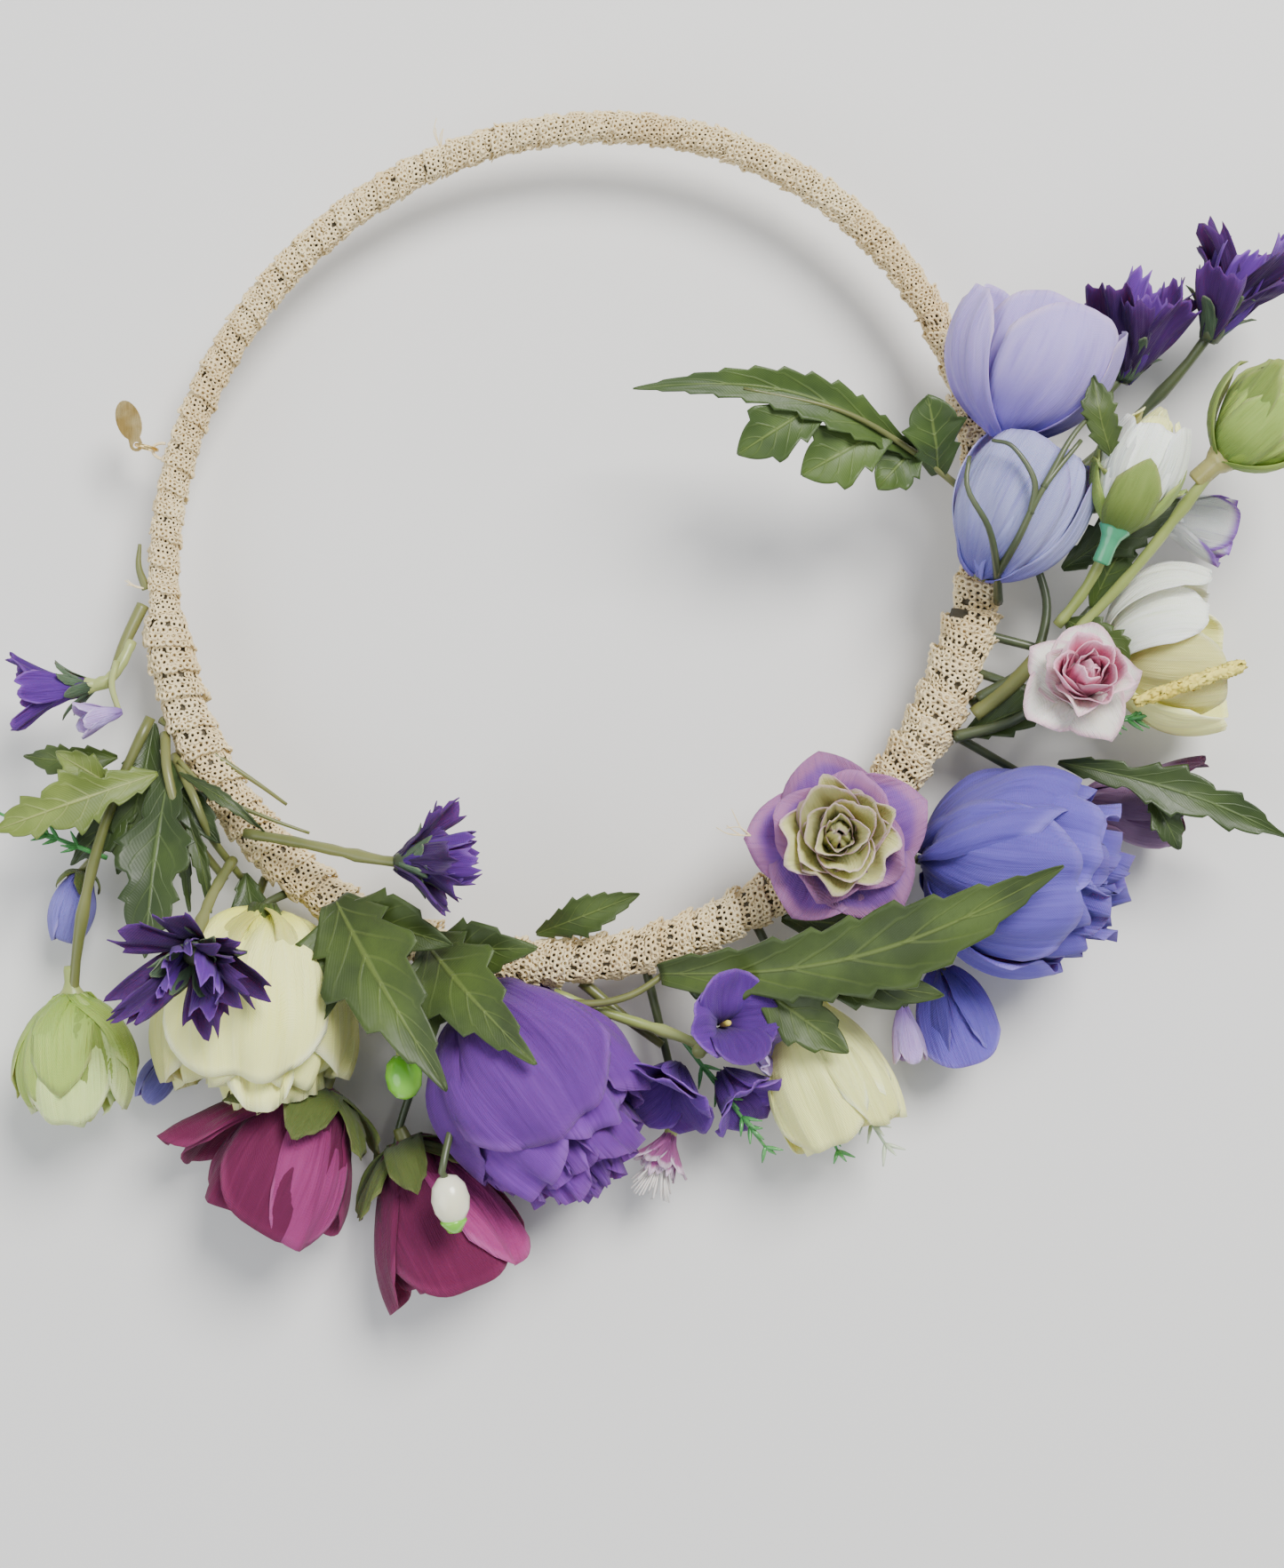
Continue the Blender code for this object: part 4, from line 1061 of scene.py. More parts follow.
def hoop_radius(bearing):
    """Distance from the centre to the hoop's centre line, in millimetres; bearings in degrees."""
    c, s = np.cos(np.radians(bearing)), np.sin(np.radians(bearing))
    return 1 / np.sqrt(ELLIPSE[0] * c * c + ELLIPSE[1] * s * s + ELLIPSE[2] * c * s)


def at(bearing, out, up):
    """A place by its bearing, how far out from the hoop's centre line, and how high, in millimetres."""
    radius = hoop_radius(bearing) + out
    angle = math.radians(bearing)
    return Vector((radius * math.cos(angle), radius * math.sin(angle), up)) * MM


def spine(node, count=14):
    """The middle line of a rod-like CAD node from the end near the hoop to the far end."""
    points = np.unique(np.round(np.array([vert.co for vert in NODES[node].data.vertices]), 6), axis=0)
    flat = np.hypot(points[:, 0], points[:, 1])
    bearing = np.degrees(np.arctan2(points[:, 1], points[:, 0]))
    off = np.abs(flat / MM - hoop_radius(bearing))
    root = points[off < off.min() + 2.4].mean(axis=0)
    far = np.linalg.norm(points - root, axis=1)
    rows = [root]
    edges = np.linspace(0, far.max() + 1e-6, 8)
    for low, high in zip(edges[:-1], edges[1:]):
        inside = points[(far >= low) & (far < high)]
        if len(inside) >= 6 and low > 2.5 * MM:
            rows.append((inside.max(axis=0) + inside.min(axis=0)) / 2)
    end = points[far > far.max() - 0.8 * MM].mean(axis=0)
    rows.append(end)
    for _ in range(3):
        rows = [rows[0]] + [(a + 2 * b + c) / 4 for a, b, c in zip(rows, rows[1:], rows[2:])] + [rows[-1]]
    return curve_through(rows, count)


def rods(name, rows, look, body, replaces=(), sides=10):
    """One piece made of several rods, each a (points, radii) row."""
    bm = bmesh.new()
    for path, radii in rows:
        if not isinstance(radii, (list, tuple)):
            radii = [radii] * len(path)
        tube(bm, path, list(radii), sides)
    return finish_piece(name, bm, look, body, replaces, solid=True)


def tapered(points, count, thick, thin):
    """A row for rods: a smooth curve through these points that thins from one end to the other."""
    return curve_through(points, count), list(np.linspace(thick, thin, count))


STEM_LOOKS = {
    "stem_white_rosebud": STEM_LIGHT, "stem_green_bud_right": STEM_LIGHT, "stem_cornflower_near": STEM_DARK,
    "stem_cornflower_far": STEM_DARK, "stem_green_bud_left": STEM_LOOK, "stem_floret_left": STEM_LIGHT,
    "stem_cornflower_hanging": STEM_LOOK, "stem_cornflower_inner": STEM_LOOK, "stem_berry": STEM_LIGHT,
    "stem_violet_floret": STEM_LIGHT,
}
for node, look in STEM_LOOKS.items():
    path = spine(node)
    radii = [1.2 + 0.10 * math.sin(2.1 * k) + (0.35 if k == 9 else 0) for k in range(len(path))]
    rods(f"{node}.rod", [(path, radii)], look, BODY_OF[node], (node,), 12)

path = spine("branch_right")
rods("branch_right.rod", [(path, 1.8)], STEM_LOOK, BODY_OF["branch_right"], ("branch_right",),
     12)

TENDRILS = (
    ([at(352.0, 4.5, 5.0), at(356.0, 0.5, 20.0), at(0.5, -3.0, 27.0), at(6.0, -8.0, 29.0),
      at(10.5, -7.0, 28.0)], 1.1, 0.5),
    ([at(355.0, 1.5, 17.0), at(359.0, 3.5, 26.5), at(5.0, 8.0, 30.0), at(10.0, 17.0, 28.0)], 1.0, 0.5),
    ([at(2.0, 5.5, 29.0), at(6.0, 6.0, 30.5), at(10.5, 2.0, 30.5), at(12.0, -2.0, 29.0)], 0.8, 0.4),
    ([at(5.0, 8.0, 30.0), at(10.5, 15.0, 29.0), at(13.5, 23.0, 25.0)], 0.8, 0.4),
    ([at(339.0, 7.0, 2.0), at(345.0, 15.0, 3.0), at(352.0, 16.0, 2.0), at(358.0, 12.0, 1.0)], 1.3, 0.9),
    ([at(338.0, 6.5, -1.0), at(346.0, 18.0, -2.0), at(353.0, 26.0, 0.0)], 1.2, 0.8),
    ([at(333.0, 6.0, 2.0), at(338.0, 16.0, 4.0), at(343.0, 22.0, 9.0)], 1.4, 1.0),
)
rows = [tapered(points, 22, thick, thin) for points, thick, thin in TENDRILS]
rods("tendrils_right.rod", rows, STEM_DARK, "crown", sides=8)

LEFT_TWIGS = (
    ([at(209.0, 5.0, 5.0), at(215.0, 1.5, 8.5), at(222.0, -5.0, 9.0), at(228.0, -9.5, 8.0)], 0.7, 0.35),
    ([at(203.0, 6.0, 1.0), at(209.0, -1.0, 3.0), at(217.0, -7.0, 1.0), at(222.0, -9.0, -2.0)], 0.9, 0.4),
    ([at(205.0, 6.0, 2.0), at(210.0, 8.0, 8.0), at(216.0, 10.5, 8.0), at(224.0, 12.0, 2.0)], 1.2, 0.9),
    ([at(208.0, 6.0, 2.0), at(214.0, 5.0, 10.0), at(219.0, 7.0, 9.0), at(225.0, 9.0, 2.0)], 1.1, 0.8),
    ([at(216.0, 6.0, 6.0), at(219.0, 11.0, 7.0), at(221.0, 12.0, 5.0)], 0.9, 0.6),
    ([at(209.0, 6.0, 0.0), at(211.0, 18.0, -1.0), SEATS["blue_bud_left"].translation], 1.1, 0.9),
    ([at(227.0, 6.0, -3.0), at(230.0, 24.0, -6.0), SEATS["blue_low_left"].translation], 1.0, 0.8),
    ([at(188.0, 5.0, 0.0), at(192.5, 9.5, 2.0), at(196.0, 13.0, 3.0)], 1.5, 1.2),
    ([at(186.0, 4.0, 0.0), at(183.0, 5.5, 1.0), at(180.0, 5.5, 1.0)], 1.1, 0.4),
    ([at(262.0, 5.0, 3.0), at(270.0, 9.0, 6.0), at(277.0, 9.0, 6.0), at(284.0, 5.0, 4.0)], 1.1, 0.7),
    ([at(271.0, 5.0, -2.0), at(276.0, 14.0, -1.0), at(280.0, 22.0, 0.0)], 1.4, 0.9),
    ([at(246.0, 5.0, 6.0), at(248.0, 14.0, 8.0), at(252.0, 22.0, 7.0), at(258.0, 28.0, 5.0)], 0.9, 0.6),
)
rows = [tapered(points, 20, thick, thin) for points, thick, thin in LEFT_TWIGS]
rods("twigs_left.rod", rows, STEM_LOOK, "crown", sides=8)
points = [at(194.8, 11.0, 6.5), at(197.5, 12.5, 9.5), SEATS["lilac_small"].translation]
row = tapered(points, 10, 0.8, 0.6)
rods("twig_lilac_small.rod", [row], STEM_LIGHT, BODY_OF["lilac_small"], sides=8)

# Flowers without a stem of their own have a thin stalk underneath, mostly out of sight from above.
STALK_RADII = (1.1, 0.8)
STALK_BEND = 4.0
rows = []
for node in ("white_pansy", "mauve_pansy", "blue_peony", "blue_anemone", "lilac_floret", "ivory_tulip",
             "pink_daisy", "violet_peony", "snowdrop_bud", "magenta_right", "magenta_left", "ivory_peony",
             "calla", "pink_rosebud"):
    base = SEATS[node].translation
    axis = SEATS[node].to_3x3().col[2].normalized()
    root = at(math.degrees(math.atan2(base.y, base.x)), 3.5, -2.0)
    rows.append(tapered([root, base - axis * STALK_BEND * MM, base + axis * MM], 14, *STALK_RADII))
    print(node, "stalk", round((base - root).length / MM, 1), "mm")
rods("stalks_under_flowers.rod", rows, STEM_DARK, "crown", sides=8)
print("stems:", len(STEM_LOOKS) + 1, "tendrils and twigs:", len(TENDRILS) + len(LEFT_TWIGS))


# %% [markdown]
# ### Herb sprigs
# Small plastic sprigs of needle-like leaflets fill the gaps, glossy green; their pale tips are not made, and
# one sprig is pale all over.

# %% Herb sprigs
def sprig(name, root, tip, look, body, pairs=6, needle=5.0, seed=1):
    rng = random.Random(seed)
    bm = bmesh.new()
    chord = tip - root
    side = Vector((0, 0, 1)).cross(chord).normalized()
    up = chord.cross(side).normalized()
    path = curve_through([root, root + chord * 0.5 + up * chord.length * 0.08, tip], 12)
    tube(bm, path, list(np.linspace(0.6, 0.35, 12)), 8)
    for k in range(pairs):
        share = 0.35 + 0.65 * k / max(1, pairs - 1)
        base = path[min(11, int(share * 11))]
        for sign in (-1, 1, 0.25):
            way = (chord.normalized() * rng.uniform(0.7, 1.0) + side * sign * rng.uniform(0.6, 0.9)
                   + up * rng.uniform(-0.2, 0.6)).normalized()
            long = needle * (1.05 - 0.45 * share) * rng.uniform(0.8, 1.15) * MM
            bend = up * rng.uniform(-0.1, 0.25) * long
            twig = curve_through([base, base + way * long * 0.55 + bend, base + way * long], 6)
            tube(bm, twig, [0.3, 0.46, 0.52, 0.44, 0.3, 0.16], 6)
    return finish_piece(name, bm, look, body, solid=True)


SPRIG_GREEN = plastic("sprig_green", rgb(0.04, 0.22, 0.05), rgb(0.10, 0.36, 0.10), 0.28, 0.35)
SPRIG_PALE = plastic("sprig_pale", rgb(0.20, 0.32, 0.16), rgb(0.62, 0.70, 0.52), 0.34, 0.3)
sprig("sprig_front_left.herb", at(282.0, 20.0, 3.0), at(287.6, 50.0, 4.0), SPRIG_GREEN, "crown", 6, 6.0, 3)
sprig("sprig_front_right.herb", at(296.0, 30.0, -2.0), at(297.4, 61.0, 2.0), SPRIG_PALE, "crown", 7, 7.5, 4)
sprig("sprig_front_right_low.herb", at(293.0, 32.0, -3.0), at(293.5, 58.0, -1.0), SPRIG_GREEN, "crown", 6,
      6.5, 5)
sprig("sprig_left.herb", at(214.0, 30.0, 3.0), at(205.5, 45.0, 10.0), SPRIG_GREEN, "crown", 6, 5.0, 6)
sprig("sprig_right.herb", at(340.0, 28.0, 2.0), at(343.0, 44.0, 4.0), SPRIG_GREEN, "crown", 6, 6.0, 7)


# %% [markdown]
# ## Leaves
# A leaf blade is a grid bent over its midrib, with a rim of teeth that lean towards the tip. A lobed
# leaf is several blades that meet at the root. The blade droops, twists and waves a little.

# %% Leaves
def tooth(v, count, depth):
    """A saw edge whose teeth lean to the tip."""
    return 1 - depth * (1 - (v * count) % 1.0) ** 0.8 if depth else 1.0


TIP_SHARE = 0.03


def add_leaf(bm, root, tip, width, arch=4.0, sweep=0.0, teeth=9, depth=0.25, droop=0.2, twist=0.0, wave=0.6,
             belly=0.42, root_share=0.1, grid=(12, 54), seed=1, up_hint=Vector((0, 0, 1)), lobes=0,
             taper=1.6):
    """Adds one blade between two places. Widths and heights are in millimetres."""
    rng = random.Random(seed)
    phase = rng.random() * 10
    bm.loops.layers.uv.verify()
    before = set(bm.verts)
    bmesh.ops.create_grid(bm, x_segments=grid[0], y_segments=grid[1], size=0.5, calc_uvs=True)
    made = [vert for vert in bm.verts if vert not in before]
    chord = tip - root
    side = up_hint.cross(chord).normalized()
    lift = chord.cross(side).normalized()
    for vert in made:
        u = vert.co.x * 2
        v = vert.co.y + 0.5
        rise = (v / belly) ** 0.75 if v < belly else 1 - ((v - belly) / (1 - belly)) ** taper
        least = root_share if v < belly else TIP_SHARE
        half = width / 2 * (least + (1 - least) * max(0.0, rise))
        if lobes:
            half *= 0.62 + 0.38 * abs(math.sin(math.pi * (v * lobes + 0.15)))
        half *= 1 + (tooth(v, teeth, depth) - 1) * abs(u) ** 1.5
        bow = math.sin(math.pi * v)
        lean = abs(u) * width * 0.10 * bow
        fold = abs(u) ** 1.3 * half * (0.34 - droop * v)
        ripple = wave * abs(u) ** 2 * math.sin(9.0 * v + phase + (2.0 if u > 0 else 0.0))
        turn = math.radians(twist) * v
        aside = u * half * math.cos(turn) + sweep * bow
        height = arch * bow + fold + ripple + u * half * math.sin(turn)
        height += 0.5 * noise.noise(Vector((u * 1.5, v * 4 + phase, phase)))
        vert.co = root + chord * v + chord.normalized() * lean * MM + (side * aside + lift * height) * MM
    return made


def leaf_ends(node):
    """Root and tip of a CAD leaf: the two places furthest apart, the root nearer the hoop."""
    points = np.array([vert.co for vert in NODES[node].data.vertices])
    first = points[np.linalg.norm(points - points.mean(axis=0), axis=1).argmax()]
    second = points[np.linalg.norm(points - first, axis=1).argmax()]
    ends = [Vector(first), Vector(second)]
    ends.sort(key=lambda p: abs(p.xy.length / MM - hoop_radius(math.degrees(math.atan2(p.y, p.x)))))
    return ends


LEAF_THICKNESS = 0.28


def leaf_piece(node, look, blades):
    """A leaf of one or more blades, in place of its CAD node."""
    bm = bmesh.new()
    for row in blades:
        add_leaf(bm, **row)
    finish_piece(f"{node}.blade", bm, LEAF_LOOKS[look], BODY_OF[node], (node,), LEAF_THICKNESS)


def vein(node, points, thick, thin, look):
    """A raised plastic midrib along a leaf."""
    rods(f"{node}.midrib", [tapered(points, 20, thick, thin)], look, BODY_OF[node], (node,), 8)


root, tip = leaf_ends("fern_leaf")
chord = tip - root
across = Vector((0, 0, 1)).cross(chord).normalized()
lift = chord.cross(across).normalized()


def on_fern(share, aside=0.0, up=0.0):
    bow = math.sin(math.pi * share)
    return root + chord * share + (across * (aside - 7.0 * bow) + lift * (up + 6.0 * bow)) * MM


blades = [
    dict(root=on_fern(0.10), tip=tip, width=12.0, arch=5.5, sweep=-6.5, teeth=11, depth=0.30, seed=2,
         belly=0.30),
    dict(root=on_fern(0.46, -1.0, -0.6), tip=on_fern(0.66, 14.0, -3), width=15.0, arch=1.5, teeth=3,
         depth=0.30, seed=3, grid=(12, 40), belly=0.55, taper=1.5, root_share=0.55),
    dict(root=on_fern(0.25, -1.0, -0.6), tip=on_fern(0.46, 15.5, -3), width=17.0, arch=1.5, teeth=3,
         depth=0.30, seed=4, grid=(12, 40), belly=0.55, taper=1.5, root_share=0.55),
    dict(root=on_fern(0.14, -1.0, -0.6), tip=on_fern(0.22, 11.0, -2), width=13.0, arch=1.0, teeth=3,
         depth=0.30, seed=5, grid=(10, 36), root_share=0.55),
    dict(root=on_fern(0.04, 0.5), tip=on_fern(0.17, -11.0, 6), width=15.0, arch=2.0, teeth=3, depth=0.30,
         seed=6, grid=(12, 40), belly=0.62, taper=1.9, root_share=0.3),
]
# The leaflet at the root has its own stalk in the lace, so it stays there when the fern leaf bends.
bm = bmesh.new()
add_leaf(bm, **blades.pop())
finish_piece("leaf_at_fern_root.blade", bm, LEAF_LOOKS["fern"], "crown", thickness=LEAF_THICKNESS)
leaf_piece("fern_leaf", "fern", blades)
vein("fern_leaf", [on_fern(-0.06), on_fern(0.15, up=0.8), on_fern(0.4, up=0.8), on_fern(0.7, up=0.6)], 0.9,
     0.3, STEM_LOOK)

root, tip = leaf_ends("big_leaf")
chord = tip - root
along, across = chord.normalized(), Vector((0, 0, 1)).cross(chord).normalized()
mid = root + chord * 0.34
blades = [
    dict(root=root, tip=tip + along * 3 * MM, width=21.0, arch=3.0, sweep=-7.0, teeth=10, depth=0.26,
         seed=7, belly=0.54, twist=-6, root_share=0.3, taper=1.25),
    dict(root=root + chord * 0.20 - across * 4 * MM, tip=mid + (along * 6 - across * 27) * MM, width=15.0,
         arch=0.5, teeth=5, depth=0.30, seed=8, grid=(10, 40), belly=0.5),
    dict(root=root + chord * 0.30 - across * 6 * MM, tip=mid + (along * 30 - across * 20) * MM, width=13.0,
         arch=1.0, teeth=4, depth=0.30, seed=9, grid=(10, 36), belly=0.5),
]
leaf_piece("big_leaf", "leaf", blades)

for node, wide, look, seed in (("maple_leaf_left", 28.0, "leaf", 20), ("maple_leaf_right", 25.0, "leaf", 30)):
    root, tip = leaf_ends(node)
    chord = tip - root
    along, across = chord.normalized(), Vector((0, 0, 1)).cross(chord).normalized()
    centre = root + chord * 0.25
    blades = [
        dict(root=root, tip=tip + along * 5 * MM, width=wide, arch=4.0, teeth=5, depth=0.34, seed=seed,
             belly=0.34, root_share=0.35, taper=0.82),
        dict(root=root + chord * 0.05, tip=centre + (along * 13 + across * 17) * MM, width=wide * 0.66,
             arch=1.6, teeth=3, depth=0.28, seed=seed + 1, grid=(10, 40), belly=0.4, taper=1.0),
        dict(root=root + chord * 0.05, tip=centre + (along * 11 - across * 17) * MM, width=wide * 0.66,
             arch=1.6, teeth=3, depth=0.28, seed=seed + 2, grid=(10, 40), belly=0.4, taper=1.0),
    ]
    leaf_piece(node, look, blades)

root, tip = leaf_ends("upper_left_leaf")
chord = tip - root
along, across = chord.normalized(), Vector((0, 0, 1)).cross(chord).normalized()
blades = [
    dict(root=root - along * 3 * MM, tip=tip + along * 3 * MM, width=17.0, arch=3.0, teeth=8, depth=0.34,
         seed=41, belly=0.45, lobes=3),
    dict(root=root + chord * 0.2, tip=root + chord * 0.5 - across * 12 * MM, width=9.0, arch=1.5, teeth=4,
         depth=0.3, seed=42, grid=(10, 36)),
]
leaf_piece("upper_left_leaf", "leaf_light", blades)

root, tip = leaf_ends("hanging_left_leaf")
chord = tip - root
along, across = chord.normalized(), Vector((0, 0, 1)).cross(chord).normalized()
blades = [
    dict(root=root, tip=tip + along * 4 * MM, width=21.0, arch=4.0, teeth=7, depth=0.28, seed=51, belly=0.5,
         lobes=3, twist=14),
    dict(root=root + chord * 0.1, tip=root + chord * 0.45 + across * 13 * MM, width=10.0, arch=1.5, teeth=4,
         depth=0.3, seed=52, grid=(10, 36)),
]
leaf_piece("hanging_left_leaf", "leaf_dark", blades)

root, tip = leaf_ends("right_leaf")
chord = tip - root
along, across = chord.normalized(), Vector((0, 0, 1)).cross(chord).normalized()
blades = [
    dict(root=root, tip=tip + along * 2 * MM, width=14.0, arch=3.0, sweep=2.0, teeth=8, depth=0.3, seed=61,
         belly=0.5, lobes=3),
    dict(root=root + chord * 0.42, tip=root + chord * 0.62 - across * 10 * MM, width=9.0, arch=1.0, teeth=4,
         depth=0.3, seed=62, grid=(10, 36)),
]
leaf_piece("right_leaf", "leaf_dark", blades)

root, tip = leaf_ends("inner_leaf")
along = (tip - root).normalized()
leaf_piece("inner_leaf", "leaf",
           [dict(root=root, tip=tip + along * 2 * MM, width=10.0, arch=2.0, teeth=7, depth=0.25, seed=71)])

# Small leaves that fill the gaps, on the crown itself.
FILLERS = (
    ("leaf_over_lavender", "leaf", (8.0, 24.0, 24.0), (16.6, 22.0, 27.0), 11.0, 81),
    ("leaf_by_rosebud", "fern", (353.0, 26.0, 0.5), (1.5, 34.0, 1.5), 11.0, 82),
    ("leaf_by_calla", "leaf", (351.0, 20.0, 5.0), (346.5, 36.0, 9.0), 14.0, 83),
    ("leaf_behind_rosebud", "leaf_dark", (357.0, 18.0, 2.0), (4.0, 44.0, 4.0), 14.0, 84),
    ("leaf_front_low", "leaf_dark", (283.0, 2.0, -1.0), (290.0, 24.0, 2.0), 15.0, 85),
    ("leaf_under_tulip", "leaf", (299.0, 6.0, 0.0), (312.0, 30.0, 3.0), 14.0, 86),
    ("leaf_left_low", "leaf_dark", (225.0, 8.0, 0.0), (234.0, 24.0, 2.0), 13.0, 87),
    ("leaf_left_base", "leaf_dark", (203.0, 8.0, -1.0), (216.0, 30.0, 3.0), 14.0, 88),
    ("leaf_left_behind", "leaf_dark", (207.0, 10.0, 0.0), (212.6, 38.0, 2.0), 15.0, 91),
    ("leaf_left_top", "leaf", (205.0, 18.0, 1.0), (201.2, 37.0, 4.0), 10.0, 93),
    ("leaf_left_inner", "leaf", (210.5, 5.5, 8.0), (223.5, -3.0, 10.5), 3.6, 96),
    ("leaf_left_lance", "leaf", (214.0, 8.0, 8.0), (226.0, 18.0, 10.0), 4.5, 92),
    ("leaf_left_lance_low", "leaf_dark", (211.0, 9.0, 5.0), (224.0, 22.0, 6.0), 4.5, 94),
    ("leaf_right_base", "leaf_dark", (334.0, 8.0, -1.0), (345.0, 32.0, 1.0), 15.0, 89),
)
for name, look, root, tip, width, seed in FILLERS:
    bm = bmesh.new()
    add_leaf(bm, at(*root), at(*tip), width, 2.5, 1.0, 7, 0.3, seed=seed, grid=(10, 40),
             lobes=2 if seed % 2 else 0)
    finish_piece(f"{name}.blade", bm, LEAF_LOOKS[look], "crown", thickness=LEAF_THICKNESS)
print("leaves ready")


# %% [markdown]
# ### The calla's spadix
# A short spike rolled in yellow foam grit; its stub of brown stem is not made, the spike only thins at the
# root.

# %% Spadix
path = spine("calla_spadix", 26)
bm = bmesh.new()
start, end = path[0], path[-1]
axis = (end - start).normalized()
path = [start - axis * 3 * MM + (end - start + axis * 3 * MM) * k / 29 for k in range(30)]
tube(bm, path, [1.0 + 0.5 * min(1, k / 8) for k in range(28)] + [1.3, 0.8], 16)
for vert in bm.verts:
    offset = noise.noise(vert.co * 1400) * 0.45 + noise.noise(vert.co * 3200) * 0.25
    vert.co += Vector((vert.normal.x, vert.normal.y, vert.normal.z)) * offset * MM
bmesh.ops.subdivide_edges(bm, edges=bm.edges[:], cuts=1, use_grid_fill=True)
for vert in bm.verts:
    vert.co += Vector((noise.noise(vert.co * 2500), noise.noise(vert.co * 2500 + Vector((9, 0, 0))),
                       noise.noise(vert.co * 2500 + Vector((0, 9, 0))))) * 0.7 * MM
finish_piece("calla_spadix.grit", bm, YELLOW_LOOK, BODY_OF["calla_spadix"], ("calla_spadix",),
             solid=True)


# %% [markdown]
# ## The lace
# The hoop is wound with a crocheted cotton ribbon 8 to 10 mm wide. The ribbon is built from what it
# is made of: rows of looped stitches. One stitch is a small ring of yarn; an array repeats it across
# and along the ribbon, and the flat ribbon is then wound round the hoop, each turn lapping over the
# last one like roof tiles. Here and there a stitch is left out, and the florist's tape underneath
# shows through; the tape is coloured dark so that it paints the shade inside these holes.

# %% Lace
STITCH_MAJOR = 0.64
STITCH_MINOR = 0.33
STITCH_STEP = 1.46
ROW_STEP = 1.40
RIBBON_ROWS = 7
EYELET_ROW = 3
# How unlike each other the stitches are: their tilt as a slope, their size, and their place in millimetres.
STITCH_TILT = 0.26
STITCH_TILT_LIMIT = 0.8
STITCH_GROWTH = 0.09
STITCH_SHIFT = 0.10
STITCH_STRETCH = 1.12
SCALLOP = 0.25
# The bore of the CAD winding is nearer the centre line than this, and its skin is further out.
BORE_REACH = 2.4
# How far the ribbon and the tape lie below the skin of the CAD winding.
RIBBON_SINK = 0.55
TAPE_SINK = 1.25


def stitch_ring():
    """One looped stitch: a small ring of yarn, closed by a full spin."""
    bm = bmesh.new()
    bm.loops.layers.uv.verify()
    circle = bmesh.ops.create_circle(bm, segments=4, radius=STITCH_MINOR)
    bmesh.ops.rotate(bm, verts=circle["verts"], matrix=Matrix.Rotation(math.pi / 2, 3, "X"), cent=(0, 0, 0))
    bmesh.ops.translate(bm, verts=circle["verts"], vec=(STITCH_MAJOR, 0, 0))
    bmesh.ops.spin(bm, geom=bm.edges[:], cent=(0, 0, 0), axis=(0, 0, 1), angle=math.tau, steps=7,
                   use_merge=True, use_duplicate=False)
    bmesh.ops.remove_doubles(bm, verts=bm.verts[:], dist=1e-4)
    bmesh.ops.recalc_face_normals(bm, faces=bm.faces[:])
    return bm


def lace_radius(node):
    """Outer radius of the winding at the node's two ends: how far its skin is from the centre line."""
    points = np.array([vert.co for vert in NODES[node].data.vertices]) / MM
    bearing = np.degrees(np.arctan2(points[:, 1], points[:, 0]))
    off = np.hypot(np.hypot(points[:, 0], points[:, 1]) - hoop_radius(bearing), points[:, 2])
    skin = off > BORE_REACH
    middle = np.degrees(math.atan2(points[:, 1].mean(), points[:, 0].mean()))
    swing = (bearing - middle + 180) % 360 - 180
    low, high = swing[skin].min(), swing[skin].max()
    near_low = off[skin & (swing < low + 6)].mean()
    near_high = off[skin & (swing > high - 6)].mean()
    return middle + low, middle + high, near_low, near_high


